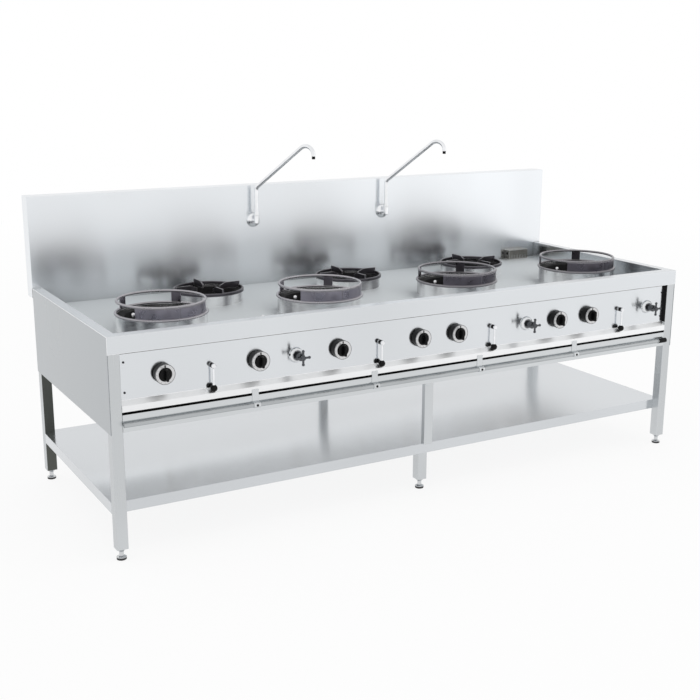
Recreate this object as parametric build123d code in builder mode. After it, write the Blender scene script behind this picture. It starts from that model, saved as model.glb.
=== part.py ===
from build123d import *
import os
from math import cos, hypot, radians, sin

os.makedirs("parts", exist_ok=True)

# A four-burner wok range with three rear simmering burners.
# Millimetres. +X is to the cook's right, +Y runs back to the wall, +Z is up.
# The origin is on the floor, under the middle of the whole outline.

# ---------------------------------------------------------------- table
table_width = 2800        # over the two side panels
table_depth = 1020        # fascia to the front of the splashback
table_height = 870        # floor to the rim
body_depth = 370          # rim to the lower edge of the side panels
sheet = 2                 # thickness of every folded stainless sheet
fascia_height = 67        # front apron of the worktop
rim_front = 45            # width of the raised rim along the front
rim_side = 40             # width of the raised rim at both ends
tray_depth = 77           # rim to the sunken tray floor
rim_bend = 3.5            # outside radius of the folded front rim
panel_recess = 20         # fascia to the upright part of the control panel

# ---------------------------------------------------------------- splashback
splash_depth = 80
splash_rise = 395         # above the rim
splash_drop = 43          # how far its sides hang below the rim
splash_bend = 1.5

# ---------------------------------------------------------------- frame
leg_size = 45
leg_wall = 2
leg_corner = 3
foot_height = 45
foot_pad_radius = 19
foot_pad_height = 16
foot_stem_radius = 9
foot_cap_height = 12
foot_cap_step = 2         # cap wider than the stem where it starts
foot_pad_edge = 1
foot_pad_crown = 5        # rounded top of the pad
rail_height = 66
rail_depth = 50
rail_lift = 5             # lower edge of the rails above that of the side panels
side_rail_depth = 25
panel_lip = 18            # inward fold at the foot of a side panel
mid_leg_from_left = 1412
mid_leg_setback = 65      # leg front plane to the lower middle leg
mid_post_width = 43
mid_post_depth = 25
mid_post_setback = 25

# ---------------------------------------------------------------- shelf
shelf_top = 222
shelf_fold = 44
shelf_setback = 25

# ---------------------------------------------------------------- control panel
slit_height = 10          # air slit between the control panel and the front rail
panel_lip_height = 24
panel_slope_height = 17
panel_top_flange = 22
panel_foot_flange = 16
screw_inset = 18
screw_rise = 28           # lower screws, above the head of the sloped foot
screw_drop = 38           # upper screws, below the top of the panel
screw_head_radius = 4.5
screw_crown_radius = 2.7
screw_crown_height = 1
screw_head_height = 2.5
screw_radius = 2
screw_length = 12

# ---------------------------------------------------------------- burners
wok_count = 4
wok_from_left = 349       # left side panel to the first wok
wok_from_right = 295
wok_setback = 376         # fascia to the wok centres
simmer_setback = 774
simmer_shift = 368        # each simmering burner stands this far right of a wok
wok_pot_radius = 182
wok_collar_rise = 57      # collar above the tray floor
wok_pot_drop = 93         # pot below the tray floor
simmer_pot_radius = 152
simmer_collar_rise = 43
simmer_pot_drop = 53
pot_wall = 2
pot_flange = 20           # ring that clamps the pot under the tray
wok_liner = 30            # thickness of the heat-proof lining
simmer_liner = 15
liner_drop = 10           # lining stops this far under the collar's edge
wok_head_radius = 58
simmer_head_radius = 45
wok_head_top = 20         # burner head below the tray floor
simmer_head_top = 8
head_height = 24
head_clearance = 1        # burner head above its seat plate, at least
head_rim = 4              # height of the bevel round the head
head_bevel = 6            # width of that bevel
burner_neck_radius = 24
burner_plate = 3
burner_plate_margin = 14
burner_drop = 30          # axis of the mixing tube below the pot
mixing_radius = 19
mixing_wall = 2.5
mixing_length = 190
port_count = 12
port_radius = 3
port_inset = 22           # edge of the head to the circle of ports
port_depth = 12
pilot_radius = 5
pilot_reach = 117         # pilot tube from the burner axis
pilot_angle = 178
pilot_rise = 62           # above the tray floor
pilot_bend = 12

# ---------------------------------------------------------------- wok rings and trivets
rod_diameter = 11
ring_height = 61
ring_taper = 7            # the upper rod is this much smaller in radius than the lower
band_thickness = 3
front_band_angle = 109.2
post_angle = 13
post_spread = 80.6        # angle between the middles of the two rear posts
seat_gap = 0.3            # between a lift-off ring and the collar below it
trivet_radius = 157.5
trivet_bar = 10
trivet_thickness = 14
trivet_rounding = 4
fin_count = 4
fin_first_angle = 2
fin_thickness = 6
fin_rise = 16             # level top of a fin above the ring
fin_level_radius = 85     # the level top reaches in to here
fin_nose_radius = 55      # the sloping top ends here
fin_nose_rise = 3
fin_sink = 2              # fins are cast into the ring below its top face

# ---------------------------------------------------------------- gas taps
# Distances of the taps from the burner that each one serves.
wok_knob_shift = (-134, -100, -244, -224)
simmer_knob_shift = (-113, -81, -60)
lever_shift = (59, 87, -58, -37)
knob_drop = 165           # rim to the axes of the knobs
bezel_radius = 39
bezel_depth = 26
bezel_foot = 13           # narrower part of the bezel against the panel
bezel_base = 3
bezel_flare = 2.5
dial_thickness = 1.5
knob_radius = 24.5
knob_gap = 1.5
knob_back = 10            # panel to the back of the knob
knob_front = 34           # panel to the face of the knob
grip_height = 18
grip_width = 12
grip_length = 48
grip_root = 3             # grip starts this far inside the knob's face
grip_taper = 4            # degrees
grip_rounding = 2
knob_bevel = 2            # back edge
knob_crown = 3            # height of the front bevel
knob_crown_width = 3
knob_draft = 1            # knob is this much smaller in front than behind
push_travel = 4
spindle_radius = 4
spindle_flat = 3
running_gap = 0.05
spindle_reach = 26
valve_width = 30
valve_height = 34
valve_depth = 43
valve_socket = 18         # depth of the hole for the spindle
manifold_radius = 17
manifold_bore = 14
manifold_bend = 34
manifold_setback = 85
manifold_side_gap = 90    # gas feed pipe from the left side panel
feed_radius = 5
feed_setback = 58
feed_drop = 92            # knob axes to the level run of the feed tubes
feed_bend = 12
feed_stand = 24           # feed tubes rise this far in front of the mixing tubes

# ---------------------------------------------------------------- pilot levers
lever_drop = 158          # rim to the axes of the levers
lever_radius = 4.5
lever_boss_radius = 9
lever_boss_length = 30
lever_bevel = 2
ball_socket = 5           # depth of the rod above the middle of the ball
lever_standoff = 20       # panel to the hanging rod
ball_radius = 14
ball_clearance = 1        # hanging ball to the sloped foot of the panel
cock_width = 24

# ---------------------------------------------------------------- water
first_tap_shift = 52      # from the first simmering burner
wok_tap_shift = (131, 138)  # from the last two woks
tap_drop = 165
tap_reach = 50            # fascia to the foremost point of the tap handles
tap_flange_radius = 32.5
tap_flange_depth = 14     # domed flange in front of the panel
tap_edge = 2
tap_body_radius = 13
tap_bonnet_radius = 16
tap_bonnet_length = 16
tap_bonnet_bevel = 4
tap_bonnet_nose = 11
tap_stem_radius = 4
tap_stem_length = 14
handle_hub_radius = 10
handle_hub_length = 17
handle_arm_radius = 4.5
handle_span = 66
handle_end_radius = 6
handle_gap = 4
handle_back_bevel = 1
handle_front_bevel = 3
water_radius = 11
water_wall = 1.5
water_setback = 100
water_drop = 220          # rim to the water pipe
water_side_gap = 66       # water feed pipe from the right side panel
branch_radius = 8
branch_bend = 16
branch_sink = 1           # a branch enters the water pipe this far
stub_radius = 7           # short pipes through the splashback to the faucets
tap_tail_setback = 45
pipe_bend = 24
thread_length = 25        # threaded ends of the feed and drain pipes
thread_depth = 0.6
pipe_end_gap = 10         # feed pipes stop short of the back of the splashback
riser_setback = 40        # pipe behind the splashback front
faucet_spread = 357       # faucets left and right of a line halfway between them
faucet_shift = 14         # that line stands right of the middle of the table
faucet_rise = 231         # rim to the faucet axis
rosette_radius = 34
rosette_depth = 16        # domed rosette in front of the splashback
faucet_reach = 40         # splashback to the spout's riser
faucet_neck_radius = 11
faucet_body_radius = 13
faucet_body_height = 48
faucet_bevel = 3
faucet_nut_height = 10    # gland nut at the top of the body
faucet_nut_step = 2       # nut wider than the body
spout_radius = 9.5
spigot_length = 24
spout_riser = 121
spout_run = 310
spout_climb = 243
spout_nose_drop = 86
spout_heading = 32        # degrees from straight forward, towards the right
spout_bend = 22
spout_nose_bend = 40
spout_collar_radius = 12
spout_collar_height = 8
nozzle_bore = 5
nozzle_bore_depth = 7
nozzle_radius = 7
nozzle_length = 12

# ---------------------------------------------------------------- drain
strainer_from_right = 110
strainer_length = 126
strainer_depth = 38
strainer_height = 50
strainer_wall = 1.5
strainer_hole = 9         # radius of the overflow hole in its left end
strainer_hole_rise = 30   # above the tray floor
slot_count = 6
slot_pitch = 18
slot_length = 15
slot_width = 4
slot_rise = 12.5
drain_radius = 16
drain_wall = 2
drain_flange = 24
drain_bend = 24
drain_drop = 96           # tray floor to the level run of the drain pipe

# ---------------------------------------------------------------- ladle rail
tube_radius = 9
tube_bore = 7.5
tube_drop = 335
tube_plug_length = 12     # plug in the left end
tube_end_radius = 11
tube_end_length = 52      # socket on the right end
strap_width = 28
strap_from_left = (581, 1122, 1655, 2189)
strap_overlap = 14

# ---------------------------------------------------------------- places that follow
left = -table_width / 2
right = table_width / 2
front = tap_reach - (tap_reach + table_depth + splash_depth) / 2
splash_front = front + table_depth
back = splash_front + splash_depth
leg_front = front + sheet
leg_back = splash_front - sheet
leg_outer = right - sheet
leg_inner = leg_outer - leg_size
tray_floor = table_height - tray_depth
tray_under = tray_floor - sheet
tray_front = front + rim_front
tray_side = right - rim_side
body_bottom = table_height - body_depth
rail_bottom = body_bottom + rail_lift
rail_top = rail_bottom + rail_height
panel_top = table_height - fascia_height
panel_bottom = rail_top + slit_height
panel_front = front + panel_recess
splash_top = table_height + splash_rise
splash_bottom = table_height - splash_drop

wok_pitch = (table_width - wok_from_left - wok_from_right) / (wok_count - 1)
wok_x = [left + wok_from_left + wok_pitch * i for i in range(wok_count)]
simmer_x = [x + simmer_shift for x in wok_x[:-1]]
wok_y = front + wok_setback
simmer_y = front + simmer_setback
wok_collar_top = tray_floor + wok_collar_rise
simmer_collar_top = tray_floor + simmer_collar_rise
wok_pot_bottom = tray_floor - wok_pot_drop
simmer_pot_bottom = tray_floor - simmer_pot_drop

mid_leg_x = left + mid_leg_from_left
mid_leg_y = leg_front + mid_leg_setback + leg_size / 2
corner_x = leg_outer - leg_size / 2
corner_front_y = leg_front + leg_size / 2
corner_back_y = leg_back - leg_size / 2
mid_back_y = leg_back - mid_leg_setback - leg_size / 2
corner_legs = [(x, y) for x in (-corner_x, corner_x) for y in (corner_front_y, corner_back_y)]
middle_legs = [(mid_leg_x, mid_leg_y), (mid_leg_x, mid_back_y)]

tap_z = table_height - knob_drop
lever_z = table_height - lever_drop
water_tap_z = table_height - tap_drop
wok_knob_x = [x + shift for x, shift in zip(wok_x, wok_knob_shift)]
simmer_knob_x = [x + shift for x, shift in zip(simmer_x, simmer_knob_shift)]
knob_x = sorted(wok_knob_x + simmer_knob_x)
lever_x = [x + shift for x, shift in zip(wok_x, lever_shift)]
water_tap_x = [simmer_x[0] + first_tap_shift]
water_tap_x += [x + shift for x, shift in zip(wok_x[-2:], wok_tap_shift)]
manifold_y = front + manifold_setback
manifold_left = left + manifold_side_gap
valve_front = manifold_y - valve_depth
feed_y = front + feed_setback
feed_z = tap_z - feed_drop

water_y = front + water_setback
water_z = table_height - water_drop
water_right = right - water_side_gap
riser_y = splash_front + riser_setback
faucet_z = table_height + faucet_rise
faucet_x = [faucet_shift - faucet_spread, faucet_shift + faucet_spread]
spout_y = splash_front - faucet_reach
faucet_body_bottom = faucet_z - faucet_body_radius
faucet_body_top = faucet_body_bottom + faucet_body_height
pipe_end_y = back - pipe_end_gap

strainer_right = right - strainer_from_right
strainer_left = strainer_right - strainer_length
strainer_back = splash_front - seat_gap
strainer_front = strainer_back - strainer_depth
drain_x = (strainer_left + strainer_right) / 2
drain_y = strainer_front + strainer_depth / 2
drain_z = tray_floor - drain_drop

tube_z = table_height - tube_drop
strap_front = leg_front - sheet
tube_y = strap_front - tube_radius
strap_x = [left + x for x in strap_from_left]


def block(x_range, y_range, z_range, mode=Mode.ADD):
    """A square-edged block between two faces along each axis."""
    middle = [sum(ends) / 2 for ends in (x_range, y_range, z_range)]
    lengths = [ends[1] - ends[0] for ends in (x_range, y_range, z_range)]
    with Locations(tuple(middle)):
        Box(*lengths, mode=mode)


def lathe_y(profile, x, z, mode=Mode.ADD):
    """Turn (y, radius) points about a line along Y through (x, z)."""
    with BuildSketch(Plane.YZ.offset(x)) as half_section:
        with BuildLine():
            Polyline([(y, z + radius) for y, radius in profile], close=True)
        make_face()
    revolve(half_section.sketch, axis=Axis((x, 0, z), (0, 1, 0)), mode=mode)


def dome_y(x, z, seat_y, radius, neck_radius, depth):
    """Round cover that bulges forwards from seat_y and closes on a neck."""
    swell = sin(radians(45))
    arc_middle = (seat_y - depth * swell, z + neck_radius + (radius - neck_radius) * swell)
    dome_front = seat_y - depth
    with BuildSketch(Plane.YZ.offset(x)) as half_section:
        with BuildLine():
            Polyline((dome_front, z + neck_radius), (dome_front, z), (seat_y, z), (seat_y, z + radius))
            ThreePointArc((seat_y, z + radius), arc_middle, (dome_front, z + neck_radius))
        make_face()
    revolve(half_section.sketch, axis=Axis((x, 0, z), (0, 1, 0)))


def lathe_z(profile, x, y, mode=Mode.ADD):
    """Turn (radius, z) points about an upright line through (x, y)."""
    with BuildSketch(Plane.XZ.offset(-y)) as half_section:
        with BuildLine():
            Polyline([(x + radius, z) for radius, z in profile], close=True)
        make_face()
    revolve(half_section.sketch, axis=Axis((x, y, 0), (0, 0, 1)), mode=mode)


def pipe(points, radius, bend, bore=0):
    """A round pipe along straight runs joined by arcs of one bend radius."""
    with BuildLine() as route:
        FilletPolyline(*points, radius=bend)
    with BuildSketch(Plane(route.line @ 0, z_dir=route.line % 0)) as section:
        Circle(radius)
        if bore:
            Circle(bore, mode=Mode.SUBTRACT)
    sweep(section.sketch, path=route.line)


def thread_end(plane, radius):
    """Turn the last stretch of a pipe down to its thread, back from a plane."""
    with BuildSketch(plane) as cut:
        Circle(radius + thread_depth)
        Circle(radius - thread_depth, mode=Mode.SUBTRACT)
    extrude(cut.sketch, amount=-thread_length, mode=Mode.SUBTRACT)


def save(piece, name):
    """Label a finished piece and write it to its own file."""
    piece.part.label = name
    export_step(piece.part, f"parts/{name}.step")


# ---------------------------------------------------------------- legs
# Square tube: four corner legs, two short legs under the shelf, two posts over it.
# The corner legs stand up beside the tray and are notched round it.
with BuildPart() as legs:
    with BuildSketch(Plane.XY.offset(foot_height)):
        with Locations(*corner_legs):
            RectangleRounded(leg_size, leg_size, leg_corner)
            Rectangle(leg_size - 2 * leg_wall, leg_size - 2 * leg_wall, mode=Mode.SUBTRACT)
    extrude(amount=panel_top - foot_height)
    tray_notch_x = (-tray_side - seat_gap, tray_side + seat_gap)
    block(tray_notch_x, (tray_front - seat_gap, back), (tray_under, panel_top), Mode.SUBTRACT)
    with BuildSketch(Plane.XY.offset(foot_height)):
        with Locations(*middle_legs):
            RectangleRounded(leg_size, leg_size, leg_corner)
            Rectangle(leg_size - 2 * leg_wall, leg_size - 2 * leg_wall, mode=Mode.SUBTRACT)
    extrude(amount=shelf_top - sheet - foot_height)
    with BuildSketch(Plane.XY.offset(shelf_top)):
        post_offset = mid_post_setback + mid_post_depth / 2
        with Locations((mid_leg_x, leg_front + post_offset), (mid_leg_x, leg_back - post_offset)):
            RectangleRounded(mid_post_width, mid_post_depth, leg_corner)
            Rectangle(mid_post_width - 2 * leg_wall, mid_post_depth - 2 * leg_wall, mode=Mode.SUBTRACT)
    extrude(amount=rail_bottom - shelf_top)
save(legs, "legs")

# ---------------------------------------------------------------- levelling feet
with BuildPart() as feet:
    for foot_x, foot_y in corner_legs + middle_legs:
        stem_base = foot_pad_height - foot_pad_crown
        cap_base = foot_height - foot_cap_height
        foot_profile = [
            (0, 0),
            (foot_pad_radius - foot_pad_edge, 0),
            (foot_pad_radius, foot_pad_edge),
            (foot_pad_radius, stem_base),
            (foot_stem_radius, foot_pad_height),
            (foot_stem_radius, cap_base),
            (foot_stem_radius + foot_cap_step, cap_base),
            (leg_size / 2 - leg_wall, foot_height),
            (0, foot_height),
        ]
        lathe_z(foot_profile, foot_x, foot_y)
save(feet, "feet")

# ---------------------------------------------------------------- rails under the body
with BuildPart() as cross_rails:
    for rail_front in (leg_front, leg_back - sheet - rail_depth):
        rail_back = rail_front + rail_depth
        block((-leg_inner, leg_inner), (rail_front, rail_back), (rail_bottom, rail_top))
        hollow_y = (rail_front + sheet, rail_back - sheet)
        hollow_z = (rail_bottom + sheet, rail_top - sheet)
        block((-leg_inner, leg_inner), hollow_y, hollow_z, Mode.SUBTRACT)
    for side in (-1, 1):
        side_x = sorted((side * leg_outer, side * (leg_outer - side_rail_depth)))
        side_y = (leg_front + leg_size, leg_back - leg_size)
        block(side_x, side_y, (rail_bottom, rail_top))
        hollow_x = (side_x[0] + sheet, side_x[1] - sheet)
        block(hollow_x, side_y, (rail_bottom + sheet, rail_top - sheet), Mode.SUBTRACT)
save(cross_rails, "cross_rails")

# ---------------------------------------------------------------- shelf
# A tray turned upside down, notched round the four corner legs.
with BuildPart() as shelf:
    shelf_y = (leg_front + shelf_setback, leg_back - shelf_setback)
    shelf_length = shelf_y[1] - shelf_y[0]
    with BuildSketch(Plane.XY.offset(shelf_top - shelf_fold)) as shelf_outline:
        Rectangle(2 * leg_outer, shelf_length)
        with Locations(*corner_legs):
            Rectangle(leg_size, leg_size, mode=Mode.SUBTRACT)
    extrude(amount=shelf_fold)
    with BuildSketch(Plane.XY.offset(shelf_top - shelf_fold)):
        offset(shelf_outline.sketch, amount=-sheet, kind=Kind.INTERSECTION)
    extrude(amount=shelf_fold - sheet, mode=Mode.SUBTRACT)
save(shelf, "shelf")

# ---------------------------------------------------------------- side panels
with BuildPart() as side_panels:
    for side in (-1, 1):
        outer_x = sorted((side * right, side * leg_outer))
        block(outer_x, (leg_front, leg_back), (body_bottom, table_height - sheet))
        lip_x = sorted((side * right, side * (right - panel_lip)))
        block(lip_x, (leg_front + leg_size, leg_back - leg_size), (body_bottom, body_bottom + sheet))
save(side_panels, "side_panels")

# ---------------------------------------------------------------- back panel
with BuildPart() as back_panel:
    block((-leg_inner, leg_inner), (leg_back - sheet, leg_back), (rail_bottom, tray_under))
    with BuildSketch(Plane.XZ.offset(-leg_back)):
        with Locations((manifold_left, tap_z)):
            Circle(manifold_radius + knob_gap)
        with Locations((water_right, water_z)):
            Circle(water_radius + knob_gap)
    extrude(amount=sheet, mode=Mode.SUBTRACT)
    notch_half = drain_flange + knob_gap
    notch_x = (drain_x - notch_half, drain_x + notch_half)
    notch_z = (drain_z - drain_radius - knob_gap, tray_under)
    block(notch_x, (leg_back - sheet, leg_back), notch_z, Mode.SUBTRACT)
save(back_panel, "back_panel")

# ---------------------------------------------------------------- worktop
# Rim, fascia and sunken tray folded from one sheet, with a hole for each pot.
with BuildPart() as worktop:
    rim_z = (table_height - sheet, table_height)
    block((left, right), (front, splash_front), rim_z)
    block((-tray_side, tray_side), (tray_front, splash_front), rim_z, Mode.SUBTRACT)
    block((left, right), (front, leg_front), (panel_top, table_height))
    block((-leg_inner, leg_inner), (front, panel_front), (panel_top, panel_top + sheet))
    upstand_back = splash_front + 2 * sheet
    block((-tray_side, tray_side), (tray_front, upstand_back), (tray_under, table_height))
    inner_x = (-tray_side + sheet, tray_side - sheet)
    inner_y = (tray_front + sheet, upstand_back - sheet)
    block(inner_x, inner_y, (tray_floor, table_height), Mode.SUBTRACT)
    with BuildSketch(Plane.XY.offset(tray_under)):
        with Locations(*[(x, wok_y) for x in wok_x]):
            Circle(wok_pot_radius)
        with Locations(*[(x, simmer_y) for x in simmer_x]):
            Circle(simmer_pot_radius)
        with Locations((drain_x, drain_y)):
            Circle(drain_radius)
    extrude(amount=sheet, mode=Mode.SUBTRACT)
    front_fold = worktop.edges().filter_by(Axis.X).group_by(Axis.Z)[-1].sort_by(Axis.Y)[0]
    fillet(front_fold, radius=rim_bend)
save(worktop, "worktop")

# ---------------------------------------------------------------- splashback
# A shallow box behind the tray; its front sheet runs down inside the tray.
with BuildPart() as backsplash:
    block((left, right), (splash_front, back), (splash_bottom, splash_top))
    fold_edges = backsplash.edges().filter_by(Axis.X).group_by(Axis.Z)[-1]
    fillet(fold_edges, radius=splash_bend)
    front_edges = backsplash.edges().filter_by(Axis.Z).group_by(Axis.Y)[0]
    fillet(front_edges, radius=splash_bend)
    hollow_x = (left + sheet, right - sheet)
    block(hollow_x, (splash_front + sheet, back - sheet), (splash_bottom, splash_top - sheet), Mode.SUBTRACT)
    below_rim = (splash_bottom, table_height)
    block((left, right), (splash_front, splash_front + 2 * sheet), below_rim, Mode.SUBTRACT)
    tongue_x = (-tray_side + sheet, tray_side - sheet)
    block(tongue_x, (splash_front, splash_front + sheet), (tray_floor, table_height))
    with BuildSketch(Plane.XZ.offset(-splash_front - sheet)):
        with Locations(*[(x, faucet_z) for x in faucet_x]):
            Circle(branch_radius + knob_gap)
    extrude(amount=sheet, mode=Mode.SUBTRACT)
save(backsplash, "backsplash")

# ---------------------------------------------------------------- control panel
with BuildPart() as control_panel:
    slope_foot = panel_bottom + panel_lip_height
    slope_head = slope_foot + panel_slope_height
    with BuildSketch(Plane.YZ.offset(-leg_inner)):
        with BuildLine():
            Polyline(
                (panel_front + panel_top_flange, panel_top),
                (panel_front, panel_top),
                (panel_front, slope_head),
                (leg_front, slope_foot),
                (leg_front, panel_bottom),
                (leg_front + panel_foot_flange, panel_bottom),
            )
            offset(amount=sheet, side=Side.LEFT)
        make_face()
    extrude(amount=2 * leg_inner)
    screw_places = [
        (side * (leg_inner - screw_inset), screw_z)
        for side in (-1, 1)
        for screw_z in (slope_head + screw_rise, panel_top - screw_drop)
    ]
    with BuildSketch(Plane.XZ.offset(-panel_front - sheet)):
        with Locations(*[(x, tap_z) for x in knob_x]):
            Circle(spindle_radius + knob_gap)
        with Locations(*[(x, lever_z) for x in lever_x]):
            Circle(lever_radius + knob_gap)
        with Locations(*[(x, water_tap_z) for x in water_tap_x]):
            Circle(branch_radius + knob_gap)
        with Locations(*screw_places):
            Circle(screw_radius)
    extrude(amount=sheet, mode=Mode.SUBTRACT)
save(control_panel, "control_panel")

with BuildPart() as panel_screws:
    for screw_x, screw_z in screw_places:
        head_front = panel_front - screw_head_height
        screw_profile = [
            (head_front, 0),
            (head_front, screw_crown_radius),
            (head_front + screw_crown_height, screw_head_radius),
            (panel_front, screw_head_radius),
            (panel_front, screw_radius),
            (panel_front + screw_length, screw_radius),
            (panel_front + screw_length, 0),
        ]
        lathe_y(screw_profile, screw_x, screw_z)
save(panel_screws, "panel_screws")

# ---------------------------------------------------------------- ladle rail
with BuildPart() as front_tube:
    with BuildSketch(Plane.YZ.offset(-leg_inner)):
        with Locations((tube_y, tube_z)):
            Circle(tube_radius)
            Circle(tube_bore, mode=Mode.SUBTRACT)
    extrude(amount=2 * leg_inner)
    plug = (-leg_inner, tube_radius, tube_plug_length)
    socket = (leg_inner - tube_end_length, tube_end_radius, tube_end_length)
    for end_x, end_radius, end_length in (plug, socket):
        with BuildSketch(Plane.YZ.offset(end_x)):
            with Locations((tube_y, tube_z)):
                Circle(end_radius)
        extrude(amount=end_length)
save(front_tube, "front_tube")

with BuildPart() as tube_brackets:
    for x in strap_x:
        strap_ends = (x - strap_width / 2, x + strap_width / 2)
        block(strap_ends, (strap_front, leg_front), (tube_z, panel_bottom + strap_overlap))
        with BuildSketch(Plane.YZ.offset(strap_ends[0])):
            with Locations((tube_y, tube_z)):
                Circle(tube_radius + sheet)
                Circle(tube_radius, mode=Mode.SUBTRACT)
            with Locations((leg_front + tube_radius, tube_z)):
                Rectangle(2 * tube_radius, 4 * tube_radius, mode=Mode.SUBTRACT)
        extrude(amount=strap_width)
save(tube_brackets, "tube_brackets")


# ---------------------------------------------------------------- pots
def pot(x, y, radius, bottom, top, hole):
    """A collar open at the top, with a floor ring and a flange under the tray."""
    pot_profile = [
        (radius - pot_wall, top),
        (radius, top),
        (radius, tray_under),
        (radius + pot_flange, tray_under),
        (radius + pot_flange, tray_under - sheet),
        (radius, tray_under - sheet),
        (radius, bottom),
        (hole, bottom),
        (hole, bottom + pot_wall),
        (radius - pot_wall, bottom + pot_wall),
    ]
    lathe_z(pot_profile, x, y)


pot_hole = burner_neck_radius + knob_gap
with BuildPart() as wok_pots:
    for x in wok_x:
        pot(x, wok_y, wok_pot_radius, wok_pot_bottom, wok_collar_top, pot_hole)
save(wok_pots, "wok_pots")

with BuildPart() as simmer_pots:
    for x in simmer_x:
        pot(x, simmer_y, simmer_pot_radius, simmer_pot_bottom, simmer_collar_top, pot_hole)
save(simmer_pots, "simmer_pots")

# Heat-proof lining inside every pot.
with BuildPart() as pot_liners:
    wok_outer = wok_pot_radius - pot_wall
    for x in wok_x:
        with BuildSketch(Plane.XY.offset(wok_pot_bottom + pot_wall)):
            with Locations((x, wok_y)):
                Circle(wok_outer)
                Circle(wok_outer - wok_liner, mode=Mode.SUBTRACT)
        extrude(amount=wok_collar_top - liner_drop - wok_pot_bottom - pot_wall)
    simmer_outer = simmer_pot_radius - pot_wall
    for x in simmer_x:
        with BuildSketch(Plane.XY.offset(simmer_pot_bottom + pot_wall)):
            with Locations((x, simmer_y)):
                Circle(simmer_outer)
                Circle(simmer_outer - simmer_liner, mode=Mode.SUBTRACT)
        extrude(amount=simmer_collar_top - liner_drop - simmer_pot_bottom - pot_wall)
save(pot_liners, "pot_liners")


# ---------------------------------------------------------------- burners
def burner(x, y, head_radius, head_top, pot_bottom):
    """Burner head with its neck, seat plate and forward mixing tube."""
    seat = pot_bottom + pot_wall
    tube_z_low = pot_bottom - burner_drop
    head_bottom = head_top - head_height
    burner_profile = [
        (0, tube_z_low - mixing_radius),
        (burner_neck_radius, tube_z_low - mixing_radius),
        (burner_neck_radius, seat),
        (burner_neck_radius + burner_plate_margin, seat),
        (burner_neck_radius + burner_plate_margin, seat + burner_plate),
        (burner_neck_radius, seat + burner_plate),
        (head_radius, max(head_bottom, seat + burner_plate + head_clearance)),
        (head_radius, head_top - head_rim),
        (head_radius - head_bevel, head_top),
        (0, head_top),
    ]
    lathe_z(burner_profile, x, y)
    with BuildSketch(Plane.XZ.offset(-y)) as mixing_tube:
        with Locations((x, tube_z_low)):
            Circle(mixing_radius)
    extrude(mixing_tube.sketch, amount=mixing_length)
    with BuildSketch(Plane.XZ.offset(-y + burner_neck_radius)) as mixing_bore:
        with Locations((x, tube_z_low)):
            Circle(mixing_radius - mixing_wall)
    extrude(mixing_bore.sketch, amount=mixing_length, mode=Mode.SUBTRACT)
    with BuildSketch(Plane.XY.offset(head_top)) as ports:
        with Locations((x, y)):
            with PolarLocations(head_radius - port_inset, port_count):
                Circle(port_radius)
    extrude(ports.sketch, amount=-port_depth, mode=Mode.SUBTRACT)


wok_burner_top = tray_floor - wok_head_top
simmer_burner_top = tray_floor - simmer_head_top
with BuildPart() as wok_burners:
    for x in wok_x:
        burner(x, wok_y, wok_head_radius, wok_burner_top, wok_pot_bottom)
        pilot_root = wok_head_radius - head_bevel - pilot_radius
        away_x = cos(radians(pilot_angle))
        away_y = sin(radians(pilot_angle))
        pilot_z = wok_burner_top - head_height / 2
        pilot_points = [
            (x + pilot_root * away_x, wok_y + pilot_root * away_y, pilot_z),
            (x + pilot_reach * away_x, wok_y + pilot_reach * away_y, pilot_z),
            (x + pilot_reach * away_x, wok_y + pilot_reach * away_y, tray_floor + pilot_rise),
        ]
        pipe(pilot_points, pilot_radius, pilot_bend)
save(wok_burners, "wok_burners")

with BuildPart() as simmer_burners:
    for x in simmer_x:
        burner(x, simmer_y, simmer_head_radius, simmer_burner_top, simmer_pot_bottom)
save(simmer_burners, "simmer_burners")

# ---------------------------------------------------------------- gas manifold
with BuildPart() as gas_manifold:
    manifold_route = [
        (leg_inner - manifold_radius, manifold_y, tap_z),
        (manifold_left, manifold_y, tap_z),
        (manifold_left, pipe_end_y, tap_z),
    ]
    pipe(manifold_route, manifold_radius, manifold_bend, manifold_bore)
    with BuildSketch(Plane.YZ.offset(leg_inner - manifold_radius)):
        with Locations((manifold_y, tap_z)):
            Circle(manifold_radius)
    extrude(amount=sheet)
    gas_end = Plane(origin=(manifold_left, pipe_end_y, tap_z), z_dir=(0, 1, 0))
    thread_end(gas_end, manifold_radius)
save(gas_manifold, "gas_manifold")

# ---------------------------------------------------------------- gas valves and cocks
burner_inlets = {}
for x, knob in zip(wok_x, wok_knob_x):
    burner_inlets[knob] = (x, wok_y - mixing_length, wok_pot_bottom - burner_drop)
for x, knob in zip(simmer_x, simmer_knob_x):
    burner_inlets[knob] = (x, simmer_y - mixing_length, simmer_pot_bottom - burner_drop)

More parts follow.
